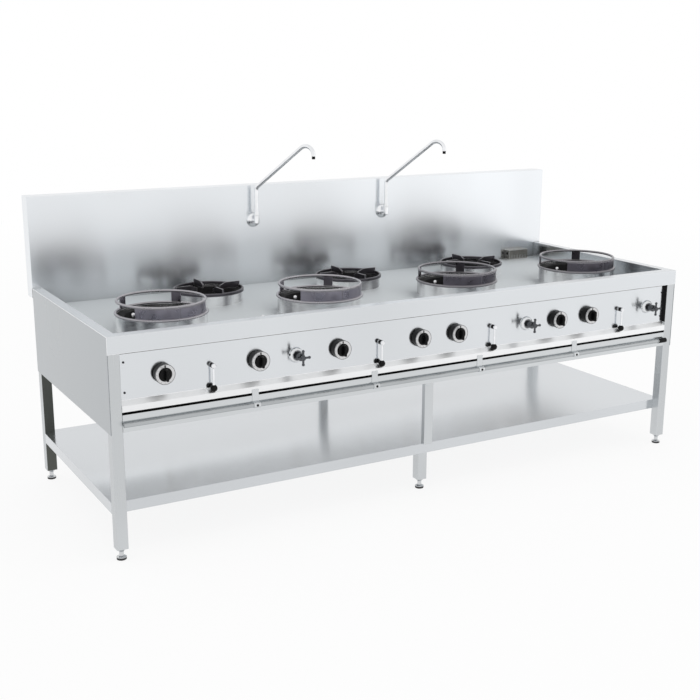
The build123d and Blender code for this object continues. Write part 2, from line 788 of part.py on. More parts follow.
with BuildPart() as gas_valves:
    valve_z = (tap_z - valve_height / 2, tap_z + valve_height / 2)
    for x in knob_x:
        inlet_x, inlet_y, inlet_z = burner_inlets[x]
        block((x - valve_width / 2, x + valve_width / 2), (valve_front, manifold_y), valve_z)
        feed_points = [
            (x, feed_y, tap_z - valve_height / 4),
            (x, feed_y, feed_z),
            (inlet_x, feed_y, feed_z),
            (inlet_x, inlet_y - feed_stand, feed_z),
            (inlet_x, inlet_y - feed_stand, inlet_z),
            (inlet_x, inlet_y + feed_bend, inlet_z),
        ]
        pipe(feed_points, feed_radius, feed_bend)
        with BuildSketch(Plane.XZ.offset(-valve_front)):
            with Locations((x, tap_z)):
                Circle(spindle_radius + running_gap)
        extrude(amount=-valve_socket, mode=Mode.SUBTRACT)
    for x in lever_x:
        block((x - cock_width / 2, x + cock_width / 2), (valve_front, manifold_y), valve_z)
        with BuildSketch(Plane.XZ.offset(-valve_front)):
            with Locations((x, lever_z)):
                Circle(lever_radius + running_gap)
        extrude(amount=-valve_socket, mode=Mode.SUBTRACT)
    with BuildSketch(Plane.YZ.offset(left)):
        with Locations((manifold_y, tap_z)):
            Circle(manifold_radius)
    extrude(amount=table_width, mode=Mode.SUBTRACT)
save(gas_valves, "gas_valves")

# ---------------------------------------------------------------- gas tap bezels and knobs
with BuildPart() as knob_bezels:
    bezel_front = panel_front - bezel_depth + dial_thickness
    bezel_bore = knob_radius + knob_gap
    for x in knob_x:
        bezel_profile = [
            (panel_front, spindle_radius + knob_gap),
            (panel_front, bezel_radius - bezel_flare),
            (panel_front - bezel_foot, bezel_radius - bezel_flare),
            (panel_front - bezel_foot, bezel_radius),
            (bezel_front, bezel_radius),
            (bezel_front, bezel_bore),
            (panel_front - bezel_base, bezel_bore),
            (panel_front - bezel_base, spindle_radius + knob_gap),
        ]
        lathe_y(bezel_profile, x, tap_z)
save(knob_bezels, "knob_bezels")

with BuildPart() as dial_rings:
    with BuildSketch(Plane.XZ.offset(-bezel_front)):
        with Locations(*[(x, tap_z) for x in knob_x]):
            Circle(bezel_radius)
            Circle(bezel_bore, mode=Mode.SUBTRACT)
    extrude(amount=dial_thickness)
save(dial_rings, "dial_rings")

for number, x in enumerate(knob_x, start=1):
    spindle_tip = panel_front - spindle_reach
    spindle_seat = valve_front + valve_socket - seat_gap
    with BuildPart() as valve_spindle:
        with BuildSketch(Plane.XZ.offset(-spindle_seat)):
            with Locations((x, tap_z)):
                Circle(spindle_radius)
        extrude(amount=spindle_seat - spindle_tip)
        flat_seat = panel_front - knob_back + push_travel + seat_gap
        with BuildSketch(Plane.XZ.offset(-flat_seat)):
            with Locations((x, tap_z + spindle_flat + spindle_radius / 2)):
                Rectangle(2 * spindle_radius, spindle_radius)
        extrude(amount=spindle_reach, mode=Mode.SUBTRACT)
    save(valve_spindle, f"valve_spindle_{number}")

    with BuildPart() as gas_knob:
        knob_rear_y = panel_front - knob_back
        knob_face_y = panel_front - knob_front
        knob_profile = [
            (knob_rear_y, 0),
            (knob_rear_y, knob_radius - knob_bevel),
            (knob_rear_y - knob_bevel, knob_radius),
            (knob_face_y + knob_crown, knob_radius - knob_draft),
            (knob_face_y, knob_radius - knob_draft - knob_crown_width),
            (knob_face_y, 0),
        ]
        lathe_y(knob_profile, x, tap_z)
        with BuildSketch(Plane.XZ.offset(-knob_face_y - grip_root)):
            with Locations((x, tap_z)):
                SlotOverall(grip_length, grip_width, rotation=90)
        extrude(amount=grip_height + grip_root, taper=grip_taper)
        grip_rim = gas_knob.faces().sort_by(Axis.Y)[0].edges()
        fillet(grip_rim, radius=grip_rounding)
        with BuildSketch(Plane.XZ.offset(-knob_rear_y)):
            with Locations((x, tap_z)):
                Circle(spindle_radius + running_gap)
            with Locations((x, tap_z + spindle_flat + running_gap + spindle_radius / 2)):
                Rectangle(3 * spindle_radius, spindle_radius, mode=Mode.SUBTRACT)
        extrude(amount=spindle_reach - knob_back + push_travel + seat_gap, mode=Mode.SUBTRACT)
    save(gas_knob, f"knob_{number}")

# ---------------------------------------------------------------- pilot levers
# The hanging ball just clears the sloped foot of the control panel.
slope_run = panel_recess - sheet
slope_length = hypot(slope_run, panel_slope_height)
rod_y = panel_front - lever_standoff
ball_rise = (ball_radius + ball_clearance) * slope_length - panel_slope_height * lever_standoff
ball_z = slope_head + ball_rise / slope_run
for number, x in enumerate(lever_x, start=1):
    shaft_seat = valve_front + valve_socket - seat_gap
    with BuildPart() as lever:
        lever_profile = [
            (shaft_seat, 0),
            (shaft_seat, lever_radius),
            (panel_front - knob_gap, lever_radius),
            (panel_front - knob_gap, lever_boss_radius),
            (panel_front - lever_boss_length + lever_bevel, lever_boss_radius),
            (panel_front - lever_boss_length, lever_boss_radius - lever_bevel),
            (panel_front - lever_boss_length, 0),
        ]
        lathe_y(lever_profile, x, lever_z)
        with BuildSketch(Plane.XY.offset(lever_z)):
            with Locations((x, rod_y)):
                Circle(lever_radius)
        extrude(amount=ball_z + ball_socket - lever_z)
    save(lever, f"lever_{number}")

    with BuildPart() as lever_ball:
        with Locations((x, rod_y, ball_z)):
            Sphere(ball_radius)
        with BuildSketch(Plane.XY.offset(ball_z + ball_socket)):
            with Locations((x, rod_y)):
                Circle(lever_radius)
        extrude(amount=ball_radius, mode=Mode.SUBTRACT)
    save(lever_ball, f"lever_ball_{number}")

# ---------------------------------------------------------------- water taps
handle_front = front - tap_reach
handle_back = handle_front + handle_hub_length
bonnet_front = handle_back + handle_gap
with BuildPart() as tap_bodies:
    for x in water_tap_x:
        stem_tip = bonnet_front - tap_stem_length
        dome_y(x, water_tap_z, panel_front, tap_flange_radius, tap_body_radius, tap_flange_depth)
        tap_profile = [
            (panel_front + sheet, 0),
            (panel_front + sheet, branch_radius),
            (panel_front, branch_radius),
            (panel_front, tap_body_radius),
            (bonnet_front + tap_bonnet_length, tap_body_radius),
            (bonnet_front + tap_bonnet_length - tap_edge, tap_bonnet_radius),
            (bonnet_front + tap_bonnet_bevel, tap_bonnet_radius),
            (bonnet_front, tap_bonnet_nose),
            (bonnet_front, tap_stem_radius),
            (stem_tip, tap_stem_radius),
            (stem_tip, 0),
        ]
        lathe_y(tap_profile, x, water_tap_z)
        tail_y = front + tap_tail_setback
        tail_points = [
            (x, panel_front + sheet, water_tap_z),
            (x, tail_y, water_tap_z),
            (x, tail_y, water_z),
            (x, water_y - water_radius + branch_sink, water_z),
        ]
        pipe(tail_points, branch_radius, branch_bend)
    with BuildSketch(Plane.YZ.offset(left)):
        with Locations((water_y, water_z)):
            Circle(water_radius)
    extrude(amount=table_width, mode=Mode.SUBTRACT)
save(tap_bodies, "tap_bodies")

for number, x in enumerate(water_tap_x, start=1):
    with BuildPart() as tap_handle:
        hub_profile = [
            (handle_back, 0),
            (handle_back, handle_hub_radius - handle_back_bevel),
            (handle_back - handle_back_bevel, handle_hub_radius),
            (handle_front + handle_front_bevel, handle_hub_radius),
            (handle_front, handle_hub_radius - handle_front_bevel),
            (handle_front, 0),
        ]
        lathe_y(hub_profile, x, water_tap_z)
        arm_y = (handle_front + handle_back) / 2
        arm_end = handle_span / 2 - handle_end_radius
        for plane, place in (
            (Plane.XY.offset(water_tap_z), (x, arm_y)),
            (Plane.YZ.offset(x), (arm_y, water_tap_z)),
        ):
            with BuildSketch(plane):
                with Locations(place):
                    Circle(handle_arm_radius)
            extrude(amount=arm_end, both=True)
        ends = [(arm_end, 0), (-arm_end, 0), (0, arm_end), (0, -arm_end)]
        with Locations(*[(x + dx, arm_y, water_tap_z + dz) for dx, dz in ends]):
            Sphere(handle_end_radius)
        with BuildSketch(Plane.XZ.offset(-handle_back)):
            with Locations((x, water_tap_z)):
                Circle(tap_stem_radius + running_gap)
        extrude(amount=tap_stem_length - handle_gap + seat_gap, mode=Mode.SUBTRACT)
    save(tap_handle, f"tap_handle_{number}")

# ---------------------------------------------------------------- water pipe
with BuildPart() as water_pipe:
    water_route = [
        (water_tap_x[0] - tap_flange_radius, water_y, water_z),
        (water_right, water_y, water_z),
        (water_right, pipe_end_y, water_z),
    ]
    pipe(water_route, water_radius, pipe_bend, water_radius - water_wall)
    riser_route = [
        (water_right, riser_y, water_z + water_radius - water_wall),
        (water_right, riser_y, faucet_z),
        (faucet_x[0] - 2 * stub_radius, riser_y, faucet_z),
    ]
    pipe(riser_route, branch_radius, branch_bend)
    with BuildSketch(Plane.XZ.offset(-riser_y)):
        with Locations(*[(x, faucet_z) for x in faucet_x]):
            Circle(stub_radius)
    extrude(amount=riser_y - splash_front - sheet)
    water_end = Plane(origin=(water_right, pipe_end_y, water_z), z_dir=(0, 1, 0))
    thread_end(water_end, water_radius)
save(water_pipe, "water_pipe")

# ---------------------------------------------------------------- swivel faucets
nut_radius = faucet_body_radius + faucet_nut_step
with BuildPart() as faucet_bodies:
    for x in faucet_x:
        dome_y(x, faucet_z, splash_front, rosette_radius, faucet_neck_radius, rosette_depth)
        neck_profile = [
            (splash_front + sheet, 0),
            (splash_front + sheet, branch_radius),
            (splash_front, branch_radius),
            (splash_front, faucet_neck_radius),
            (spout_y, faucet_neck_radius),
            (spout_y, 0),
        ]
        lathe_y(neck_profile, x, faucet_z)
        body_profile = [
            (0, faucet_body_bottom),
            (faucet_body_radius - faucet_bevel, faucet_body_bottom),
            (faucet_body_radius, faucet_body_bottom + faucet_bevel),
            (faucet_body_radius, faucet_body_top - faucet_nut_height),
            (nut_radius, faucet_body_top - faucet_nut_height + faucet_nut_step),
            (nut_radius, faucet_body_top - faucet_nut_step),
            (faucet_body_radius, faucet_body_top),
            (0, faucet_body_top),
        ]
        lathe_z(body_profile, x, spout_y)
        with BuildSketch(Plane.XY.offset(faucet_body_top)):
            with Locations((x, spout_y)):
                Circle(spout_radius + running_gap)
        extrude(amount=-spigot_length - seat_gap, mode=Mode.SUBTRACT)
save(faucet_bodies, "faucet_bodies")

for number, x in enumerate(faucet_x, start=1):
    heading = (sin(radians(spout_heading)), -cos(radians(spout_heading)))
    nose_x = x + heading[0] * spout_run
    nose_y = spout_y + heading[1] * spout_run
    elbow_z = faucet_body_top + spout_riser
    corner_z = elbow_z + spout_climb
    spout_points = [
        (x, spout_y, faucet_body_top - spigot_length),
        (x, spout_y, elbow_z),
        (nose_x, nose_y, corner_z),
        (nose_x, nose_y, corner_z - spout_nose_drop),
    ]
    with BuildPart() as spout:
        with BuildLine() as spout_line:
            FilletPolyline(*spout_points, radius=(spout_bend, spout_nose_bend))
        with BuildSketch(Plane.XY.offset(faucet_body_top - spigot_length)):
            with Locations((x, spout_y)):
                Circle(spout_radius)
        sweep(path=spout_line.line)
        with BuildSketch(Plane.XY.offset(faucet_body_top + seat_gap)):
            with Locations((x, spout_y)):
                Circle(spout_collar_radius)
        extrude(amount=spout_collar_height)
        nose_plane = Plane(spout_line.line @ 1, z_dir=spout_line.line % 1)
        with BuildSketch(nose_plane):
            Circle(nozzle_radius)
        extrude(amount=nozzle_length)
        with BuildSketch(nose_plane.offset(nozzle_length)):
            Circle(nozzle_bore)
        extrude(amount=-nozzle_bore_depth, mode=Mode.SUBTRACT)
    save(spout, f"spout_{number}")

# ---------------------------------------------------------------- wok rings
# Two round rods joined by a curved band in front and two narrow posts behind.
for number, x in enumerate(wok_x, start=1):
    rod = rod_diameter / 2
    ring_bottom = wok_collar_top + seat_gap
    lower_z = ring_bottom + rod
    upper_z = ring_bottom + ring_height - rod
    lower_radius = wok_pot_radius + seat_gap
    upper_radius = lower_radius - ring_taper
    band_radius = (lower_radius + upper_radius) / 2
    ring_axis = Axis((x, wok_y, 0), (0, 0, 1))
    with BuildPart() as wok_ring:
        with BuildSketch(Plane.XZ.offset(-wok_y)):
            with Locations((x + lower_radius, lower_z), (x + upper_radius, upper_z)):
                Circle(rod)
        revolve(axis=ring_axis)
        half_front = front_band_angle / 2
        half_spread = post_spread / 2
        bands = [
            (-90 - half_front, front_band_angle),
            (90 - half_spread - post_angle / 2, post_angle),
            (90 + half_spread - post_angle / 2, post_angle),
        ]
        for start_angle, arc in bands:
            start_plane = Plane(
                origin=(x, wok_y, (lower_z + upper_z) / 2),
                x_dir=(cos(radians(start_angle)), sin(radians(start_angle)), 0),
                z_dir=(sin(radians(start_angle)), -cos(radians(start_angle)), 0),
            )
            with BuildSketch(start_plane):
                with Locations((band_radius, 0)):
                    Rectangle(band_thickness, upper_z - lower_z)
            revolve(axis=ring_axis, revolution_arc=arc)
    save(wok_ring, f"wok_ring_{number}")

# ---------------------------------------------------------------- trivets
for number, x in enumerate(simmer_x, start=1):
    trivet_bottom = simmer_collar_top + seat_gap
    trivet_top = trivet_bottom + trivet_thickness
    ring_inner = trivet_radius - trivet_bar
    with BuildPart() as trivet:
        with BuildSketch(Plane.XY.offset(trivet_bottom)):
            with Locations((x, simmer_y)):
                Circle(trivet_radius)
                Circle(ring_inner, mode=Mode.SUBTRACT)
        extrude(amount=trivet_thickness)
        rim_edges = trivet.edges().filter_by(GeomType.CIRCLE).group_by(Axis.Z)[-1]
        fillet(rim_edges, radius=trivet_rounding)
        for fin in range(fin_count):
            angle = fin_first_angle + fin * 360 / fin_count
            fin_plane = Plane(
                origin=(x, simmer_y, trivet_top),
                x_dir=(cos(radians(angle)), sin(radians(angle)), 0),
                z_dir=(sin(radians(angle)), -cos(radians(angle)), 0),
            )
            with BuildSketch(fin_plane):
                with BuildLine():
                    Polyline(
                        (trivet_radius - trivet_rounding, -fin_sink),
                        (trivet_radius - trivet_rounding, fin_rise),
                        (fin_level_radius, fin_rise),
                        (fin_nose_radius, fin_nose_rise),
                        (fin_nose_radius, fin_sink - trivet_thickness),
                        (ring_inner + trivet_bar / 2, fin_sink - trivet_thickness),
                        close=True,
                    )
                make_face()
            extrude(amount=fin_thickness / 2, both=True)
    save(trivet, f"trivet_{number}")

# ---------------------------------------------------------------- strainer and drain
with BuildPart() as strainer:
    strainer_z = (tray_floor + seat_gap, tray_floor + strainer_height)
    block((strainer_left, strainer_right), (strainer_front, strainer_back), strainer_z)
    strainer_edges = strainer.edges().filter_by(Axis.Z)
    fillet(strainer_edges, radius=strainer_wall)
    inner_x = (strainer_left + strainer_wall, strainer_right - strainer_wall)
    inner_y = (strainer_front + strainer_wall, strainer_back - strainer_wall)
    block(inner_x, inner_y, (strainer_z[0], strainer_z[1] - strainer_wall), Mode.SUBTRACT)
    with BuildSketch(Plane.YZ.offset(strainer_left)):
        with Locations((drain_y, tray_floor + strainer_hole_rise)):
            Circle(strainer_hole)
    extrude(amount=strainer_wall, mode=Mode.SUBTRACT)
    with BuildSketch(Plane.XZ.offset(-strainer_front - strainer_wall)):
        with Locations((drain_x, tray_floor + slot_rise)):
            with GridLocations(slot_pitch, slot_pitch, slot_count, 1):
                SlotOverall(slot_length, slot_width, rotation=90)
    extrude(amount=strainer_wall, mode=Mode.SUBTRACT)
save(strainer, "strainer")

with BuildPart() as drain_pipe:
    drain_route = [
        (drain_x, drain_y, tray_under - sheet),
        (drain_x, drain_y, drain_z),
        (drain_x, pipe_end_y, drain_z),
    ]
    pipe(drain_route, drain_radius, drain_bend, drain_radius - drain_wall)
    with BuildSketch(Plane.XY.offset(tray_under - sheet)):
        with Locations((drain_x, drain_y)):
            Circle(drain_flange)
            Circle(drain_radius - drain_wall, mode=Mode.SUBTRACT)
    extrude(amount=sheet)
    drain_end = Plane(origin=(drain_x, pipe_end_y, drain_z), z_dir=(0, 1, 0))
    thread_end(drain_end, drain_radius)
save(drain_pipe, "drain_pipe")
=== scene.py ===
# %% [markdown]
# # A four-burner wok range
# This lesson dresses a commercial gas range: a stainless table with four wok
# burners in front, three simmering burners behind them, a sunken rinsing tray
# and a tall splashback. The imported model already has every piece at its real
# size, so nothing is modelled twice. Each piece takes the finish of its real
# material, and the small things that a drawing leaves out are added: dial
# marks, screw recesses, rivets, weld beads, sleeves and burner pilots.

import math

import bpy
import numpy as np
from mathutils import Matrix, Vector


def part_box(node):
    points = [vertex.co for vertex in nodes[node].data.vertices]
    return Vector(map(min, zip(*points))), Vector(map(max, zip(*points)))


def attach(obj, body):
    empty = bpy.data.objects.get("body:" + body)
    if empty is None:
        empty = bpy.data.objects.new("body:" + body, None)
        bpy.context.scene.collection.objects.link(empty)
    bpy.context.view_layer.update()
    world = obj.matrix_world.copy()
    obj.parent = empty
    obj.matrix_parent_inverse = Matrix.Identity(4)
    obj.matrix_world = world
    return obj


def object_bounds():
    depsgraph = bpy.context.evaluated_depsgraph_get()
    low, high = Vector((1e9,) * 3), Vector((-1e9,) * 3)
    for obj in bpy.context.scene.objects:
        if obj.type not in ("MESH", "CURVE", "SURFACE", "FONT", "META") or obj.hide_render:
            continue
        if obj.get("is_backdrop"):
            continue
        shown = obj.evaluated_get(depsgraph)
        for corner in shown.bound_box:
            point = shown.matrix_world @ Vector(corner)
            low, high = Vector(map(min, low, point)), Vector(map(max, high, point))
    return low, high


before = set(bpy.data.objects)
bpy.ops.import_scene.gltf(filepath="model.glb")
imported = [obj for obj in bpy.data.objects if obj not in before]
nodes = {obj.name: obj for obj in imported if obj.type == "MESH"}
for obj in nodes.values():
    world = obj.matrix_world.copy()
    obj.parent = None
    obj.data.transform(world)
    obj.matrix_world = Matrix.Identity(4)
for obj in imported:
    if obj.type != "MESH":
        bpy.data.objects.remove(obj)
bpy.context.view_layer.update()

# %% [markdown]
# ## The camera
# The range is seen from its left, a little above the rim. A camera can be
# turned by eye until the picture fits, but then every later check is a guess.
# Here a pinhole camera was fitted to the legs, the rim and the burner circles,
# so its place, its three turns and its focal length are known in the range's
# own frame. The place is kept as a distance from the fascia, the broad folded
# front of the worktop.

# %% Place the camera
PICTURE_PIXELS = 700
FOCAL_PIXELS = 1109.4
SENSOR_MM = 36.0
CAMERA_FROM_FASCIA = (-2.5604, -3.7583, 1.8133)
CAMERA_YAW = math.radians(-29.925)
CAMERA_PITCH = math.radians(-14.402)
CAMERA_ROLL = math.radians(-0.250)

camera_data = bpy.data.cameras.new("camera")
camera_data.sensor_width = SENSOR_MM
camera_data.lens = FOCAL_PIXELS / PICTURE_PIXELS * SENSOR_MM
camera_data.clip_end = 100
camera = bpy.data.objects.new("camera", camera_data)
bpy.context.scene.collection.objects.link(camera)
turn = (
    Matrix.Rotation(CAMERA_YAW, 4, "Z")
    @ Matrix.Rotation(CAMERA_PITCH, 4, "X")
    @ Matrix.Rotation(CAMERA_ROLL, 4, "Y")
    @ Matrix.Rotation(math.pi / 2, 4, "X")
)
fascia_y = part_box("worktop")[0].y
camera_place = Vector(CAMERA_FROM_FASCIA) + Vector((0, fascia_y, 0))
camera.matrix_world = Matrix.Translation(camera_place) @ turn
bpy.context.scene.camera = camera
print("lens", round(camera_data.lens, 2), "mm")

# %% [markdown]
# ## Colours and nodes
# A colour given here is an sRGB hex value, and shaders work in linear light, so one function
# converts it. Materials can be wired by hand in the node editor. In a script the same wiring is
# easier to read and to repeat, so one small function adds a node, sets it and links it.


# %% Helpers for colours and nodes
def linear(hex_colour):
    """Each channel c in 0..1 becomes c/12.92 if small, else ((c + 0.055) / 1.055) ** 2.4."""
    channels = [int(hex_colour[i : i + 2], 16) / 255 for i in (1, 3, 5)]
    bent = [c / 12.92 if c <= 0.04045 else ((c + 0.055) / 1.055) ** 2.4 for c in channels]
    return (*bent, 1.0)


def add_node(tree, kind, settings=None, inputs=None):
    """Add one node. An input given as (node, output) is a link, anything else a value."""
    made = tree.nodes.new(kind)
    for name, value in (settings or {}).items():
        setattr(made, name, value)
    for name, value in (inputs or {}).items():
        if isinstance(value, tuple) and isinstance(value[0], bpy.types.Node):
            tree.links.new(value[0].outputs[value[1]], made.inputs[name])
        else:
            made.inputs[name].default_value = value
    return made


def from_to(value, old, new):
    """The inputs of a Map Range node, a straight line from old to new that is cut at its ends."""
    names = ("From Min", "From Max", "To Min", "To Max")
    return {"Value": value, **dict(zip(names, (*old, *new)))}


print("mid grey in linear light:", round(linear("#808080")[0], 3))

# %% [markdown]
# ## A white room
# Stainless steel shows the room around it, so the room decides how it looks. A
# panorama of a real studio would do it, but a plain white world gives the same
# even sheen and needs no picture. As light it is a little dimmer than white, so
# pale sheet keeps its tone. For anything that looks at it, the camera, a mirror
# or glass, it is white and greys slightly towards the ceiling.


# %% Light the world
def looked_at(tree):
    """1 for a ray that looks straight, by a mirror or through glass, and 0 for light."""
    path = add_node(tree, "ShaderNodeLightPath")
    seen = (path, "Is Camera Ray")
    for also in ("Is Glossy Ray", "Is Transmission Ray"):
        larger = {"operation": "MAXIMUM"}
        seen = (add_node(tree, "ShaderNodeMath", larger, {0: seen, 1: (path, also)}), 0)
    return seen


DIM_WORLD = 0.9
CEILING = 0.92
CEILING_BAND = (0.12, 0.9)
world = bpy.data.worlds.new("studio")
world.use_nodes = True
bpy.context.scene.world = world
tree = world.node_tree
tree.nodes.clear()
heading = add_node(tree, "ShaderNodeTexCoord")
heading = add_node(tree, "ShaderNodeSeparateXYZ", inputs={0: (heading, "Generated")})
greying = from_to((heading, "Z"), CEILING_BAND, (1.0, CEILING))
level = add_node(tree, "ShaderNodeMapRange", inputs=greying)
strength = add_node(
    tree,
    "ShaderNodeMix",
    {"data_type": "FLOAT"},
    {0: looked_at(tree), 2: DIM_WORLD, 3: (level, 0)},
)
background = add_node(
    tree, "ShaderNodeBackground", inputs={"Color": (1, 1, 1, 1), "Strength": (strength, 0)}
)
add_node(tree, "ShaderNodeOutputWorld", inputs={"Surface": (background, 0)})
print("world: light", DIM_WORLD, "ceiling", CEILING)

# %% [markdown]
# ## Three soft lamps
# A spot or a sun throws hard shadows. A photographer of kitchen machines uses
# large cloth boxes, and area lamps stand for them. The one at the right
# brightens that end of the front and shows in the steel. The one overhead
# lights what isn't a mirror and is left out of reflections, where it would
# burn a white patch. The faint one under the body is as large as the body,
# and keeps the shelf from mirroring a black hole.


# %% Hang the lamps
def soft_lamp(name, place, target, sides, watts, mirrored):
    """An area lamp at a place, turned to face a target and left out of the picture."""
    data = bpy.data.lights.new(name, "AREA")
    data.shape = "RECTANGLE"
    data.size, data.size_y = sides
    data.energy = watts
    lamp = bpy.data.objects.new(name, data)
    bpy.context.scene.collection.objects.link(lamp)
    aim = (Vector(target) - Vector(place)).to_track_quat("-Z", "Y")
    lamp.matrix_world = Matrix.Translation(place) @ aim.to_matrix().to_4x4()
    lamp.visible_camera = False
    lamp.visible_glossy = mirrored


soft_lamp("right_lamp", (4.6, -3.6, 1.8), (0.6, 0, 0.7), (4.0, 4.0), 7, True)
soft_lamp("top_lamp", (0.3, -0.6, 4.6), (0, 0, 0.8), (3.5, 3.5), 30, False)
body_low, body_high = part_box("side_panels")
body_sides = (body_high.x - body_low.x, body_high.y - body_low.y)
LAMP_GAP = 0.001
soft_lamp("under_lamp", (0, 0, body_low.z - LAMP_GAP), (0, 0, 0), body_sides, 4.5, True)
print("under the body hangs a lamp of", [round(side, 2) for side in body_sides], "m")

# %% [markdown]
# ## The studio floor
# The range stands on a white floor that runs on to the horizon. A curved paper
# backdrop would do the same, but a flat sheet is simpler and is right from
# every side. White paint alone turns grey far from the lamps, so the part that
# eyes and mirrors see is mostly glow, and fully glow far away. What stays of
# the matt paint carries the shadow round the feet.


# %% Lay the floor
def new_material(name):
    """An empty material and its node tree."""
    material = bpy.data.materials.new(name)
    material.use_nodes = True
    material.node_tree.nodes.clear()
    return material, material.node_tree


FLOOR_HALF = 60.0
FLOOR_GLOW = 0.86
FLOOR_FADES = (3.0, 9.0)
floor_mesh = bpy.data.meshes.new("studio_floor")
corners = [(-FLOOR_HALF, -FLOOR_HALF, 0), (FLOOR_HALF, -FLOOR_HALF, 0)]
corners += [(FLOOR_HALF, FLOOR_HALF, 0), (-FLOOR_HALF, FLOOR_HALF, 0)]
floor_mesh.from_pydata(corners, [], [(0, 1, 2, 3)])
floor = bpy.data.objects.new("studio_floor", floor_mesh)
bpy.context.scene.collection.objects.link(floor)
floor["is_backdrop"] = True
floor_paint, tree = new_material("white_floor_paint")
spot = add_node(tree, "ShaderNodeTexCoord")
away = add_node(tree, "ShaderNodeVectorMath", {"operation": "LENGTH"}, {0: (spot, "Object")})
fading = from_to((away, "Value"), FLOOR_FADES, (FLOOR_GLOW, 1.0))
share = add_node(tree, "ShaderNodeMapRange", inputs=fading)
share = add_node(
    tree, "ShaderNodeMath", {"operation": "MULTIPLY"}, {0: looked_at(tree), 1: (share, 0)}
)
matt = add_node(tree, "ShaderNodeBsdfDiffuse", inputs={"Color": linear("#f4f4f4")})
glow = add_node(tree, "ShaderNodeEmission", inputs={"Color": (1, 1, 1, 1), "Strength": 1.0})
mixed = add_node(tree, "ShaderNodeMixShader", inputs={0: (share, 0), 1: (matt, 0), 2: (glow, 0)})
add_node(tree, "ShaderNodeOutputMaterial", inputs={"Surface": (mixed, 0)})
floor_mesh.materials.append(floor_paint)
bpy.context.scene.view_settings.view_transform = "Standard"
print("floor:", 2 * FLOOR_HALF, "m square")

# %% [markdown]
# ## Brushed stainless sheet
# Most of the range is stainless sheet, brushed by a belt in one direction. The
# brushing smears every reflection across its lines. Drawing each scratch as a
# groove would cost millions of faces, so the shader's anisotropy does the
# smearing, and a stretched noise draws faint lines about a millimetre apart.
# Real ones are a tenth of that, which no pixel here could show. A second,
# broad noise gives the soft clouds that handling leaves, and the folded edges
# are rounded in the shading by a millimetre or so.


# %% Brushed steel
TONE_SPREAD = (0.95, 1.06)
NOISE_SPAN = (0.3, 0.7)
CLOUD_SHARE = 0.85
GLOSS_SPREAD = 0.05
BRUSHING = 0.8
EDGE_SAMPLES = 6


def stretched_noise(tree, sizes_mm, detail, roughness):
    """Noise n(x / sx, y / sy, z / sz), with specks of the given sizes along X, Y and Z."""
    place = add_node(tree, "ShaderNodeTexCoord")
    repeats = [1000 / size for size in sizes_mm]
    place = add_node(
        tree, "ShaderNodeMapping", inputs={"Vector": (place, "Object"), "Scale": repeats}
    )
    settings = {"Vector": (place, 0), "Scale": 1.0, "Detail": detail, "Roughness": roughness}
    return add_node(tree, "ShaderNodeTexNoise", inputs=settings)


def scaled(tone, factor):
    """A tone in linear light, times a factor."""
    return (*(channel * factor for channel in linear(tone)[:3]), 1.0)


def brushed_steel(
    name, tone, lines_mm, clouds_mm, across, roughness, edge_mm, dark=None, span=NOISE_SPAN
):
    """A metal of one tone under fine lines and broad clouds.

    across: the direction in which the sheet smears its reflections. dark: the tone of the
    clouds where it differs much. span: the values of the noise that get the two tones.
    """
    material, tree = new_material(name)
    fine = stretched_noise(tree, lines_mm, 3.0, 0.6)
    broad = stretched_noise(tree, clouds_mm, 1.0, 0.4)
    weights = {0: CLOUD_SHARE, 2: (fine, 0), 3: (broad, 0)}
    both = add_node(tree, "ShaderNodeMix", {"data_type": "FLOAT"}, weights)
    tones = (linear(dark) if dark else scaled(tone, TONE_SPREAD[0]), scaled(tone, TONE_SPREAD[1]))
    colour = add_node(tree, "ShaderNodeValToRGB", inputs={"Fac": (both, 0)})
    for stop, position, shade in zip(colour.color_ramp.elements, span, tones):
        stop.position, stop.color = position, shade
    gloss = (roughness - GLOSS_SPREAD, roughness + GLOSS_SPREAD)
    shine = add_node(tree, "ShaderNodeMapRange", inputs=from_to((both, 0), NOISE_SPAN, gloss))
    tangent = add_node(tree, "ShaderNodeCombineXYZ", inputs=dict(zip("XYZ", across)))
    edge = add_node(tree, "ShaderNodeBevel", {"samples": EDGE_SAMPLES}, {"Radius": edge_mm / 1000})
    relief = {"Strength": 0.03, "Distance": 0.0004, "Height": (fine, 0), "Normal": (edge, 0)}
    bump = add_node(tree, "ShaderNodeBump", inputs=relief)
    shader = add_node(
        tree,
        "ShaderNodeBsdfPrincipled",
        inputs={
            "Base Color": (colour, 0),
            "Metallic": 1.0,
            "Roughness": (shine, 0),
            "Anisotropic": BRUSHING,
            "Tangent": (tangent, 0),
            "Normal": (bump, 0),
        },
    )
    add_node(tree, "ShaderNodeOutputMaterial", inputs={"Surface": (shader, "BSDF")})
    return material


print("tone of a sheet: clouds", CLOUD_SHARE, "lines", round(1 - CLOUD_SHARE, 2))

# %% [markdown]
# ## The sheets and tubes
# One steel could dress them all, but real panels come from different sheets, so each has its own
# gloss and lines. Each also has its own tone, partly from its sheet and partly painted light and
# shade for how much light it mirrors, and the side and back panels are painted darkest. The lines
# run along the length of each piece: across the front, from front to back on the sides, and up the
# legs.

# %% Sheets and tubes
LINES_ALONG_X = (333.3, 1.111, 1.111)
LINES_ALONG_Y = (1.111, 333.3, 1.111)
LINES_ALONG_Z = (1.4286, 1.4286, 333.3)
ACROSS_X = (0, 1, 1)
ACROSS_Y = (1, 0, 1)
ACROSS_Z = (1, 1, 0)
LONG_CLOUDS = (909.1, 500, 1250)
UPRIGHT_REFLECTION_STREAKS = (312.5, 1000, 2857.1)
TUBE_CLOUDS = (166.7, 166.7, 500)
# The rim, fascia and tray: a wide, slightly milky mirror.
worktop_steel = brushed_steel(
    "brushed_stainless_worktop", "#d8dbde", LINES_ALONG_X, LONG_CLOUDS, ACROSS_X, 0.2, 1.5
)
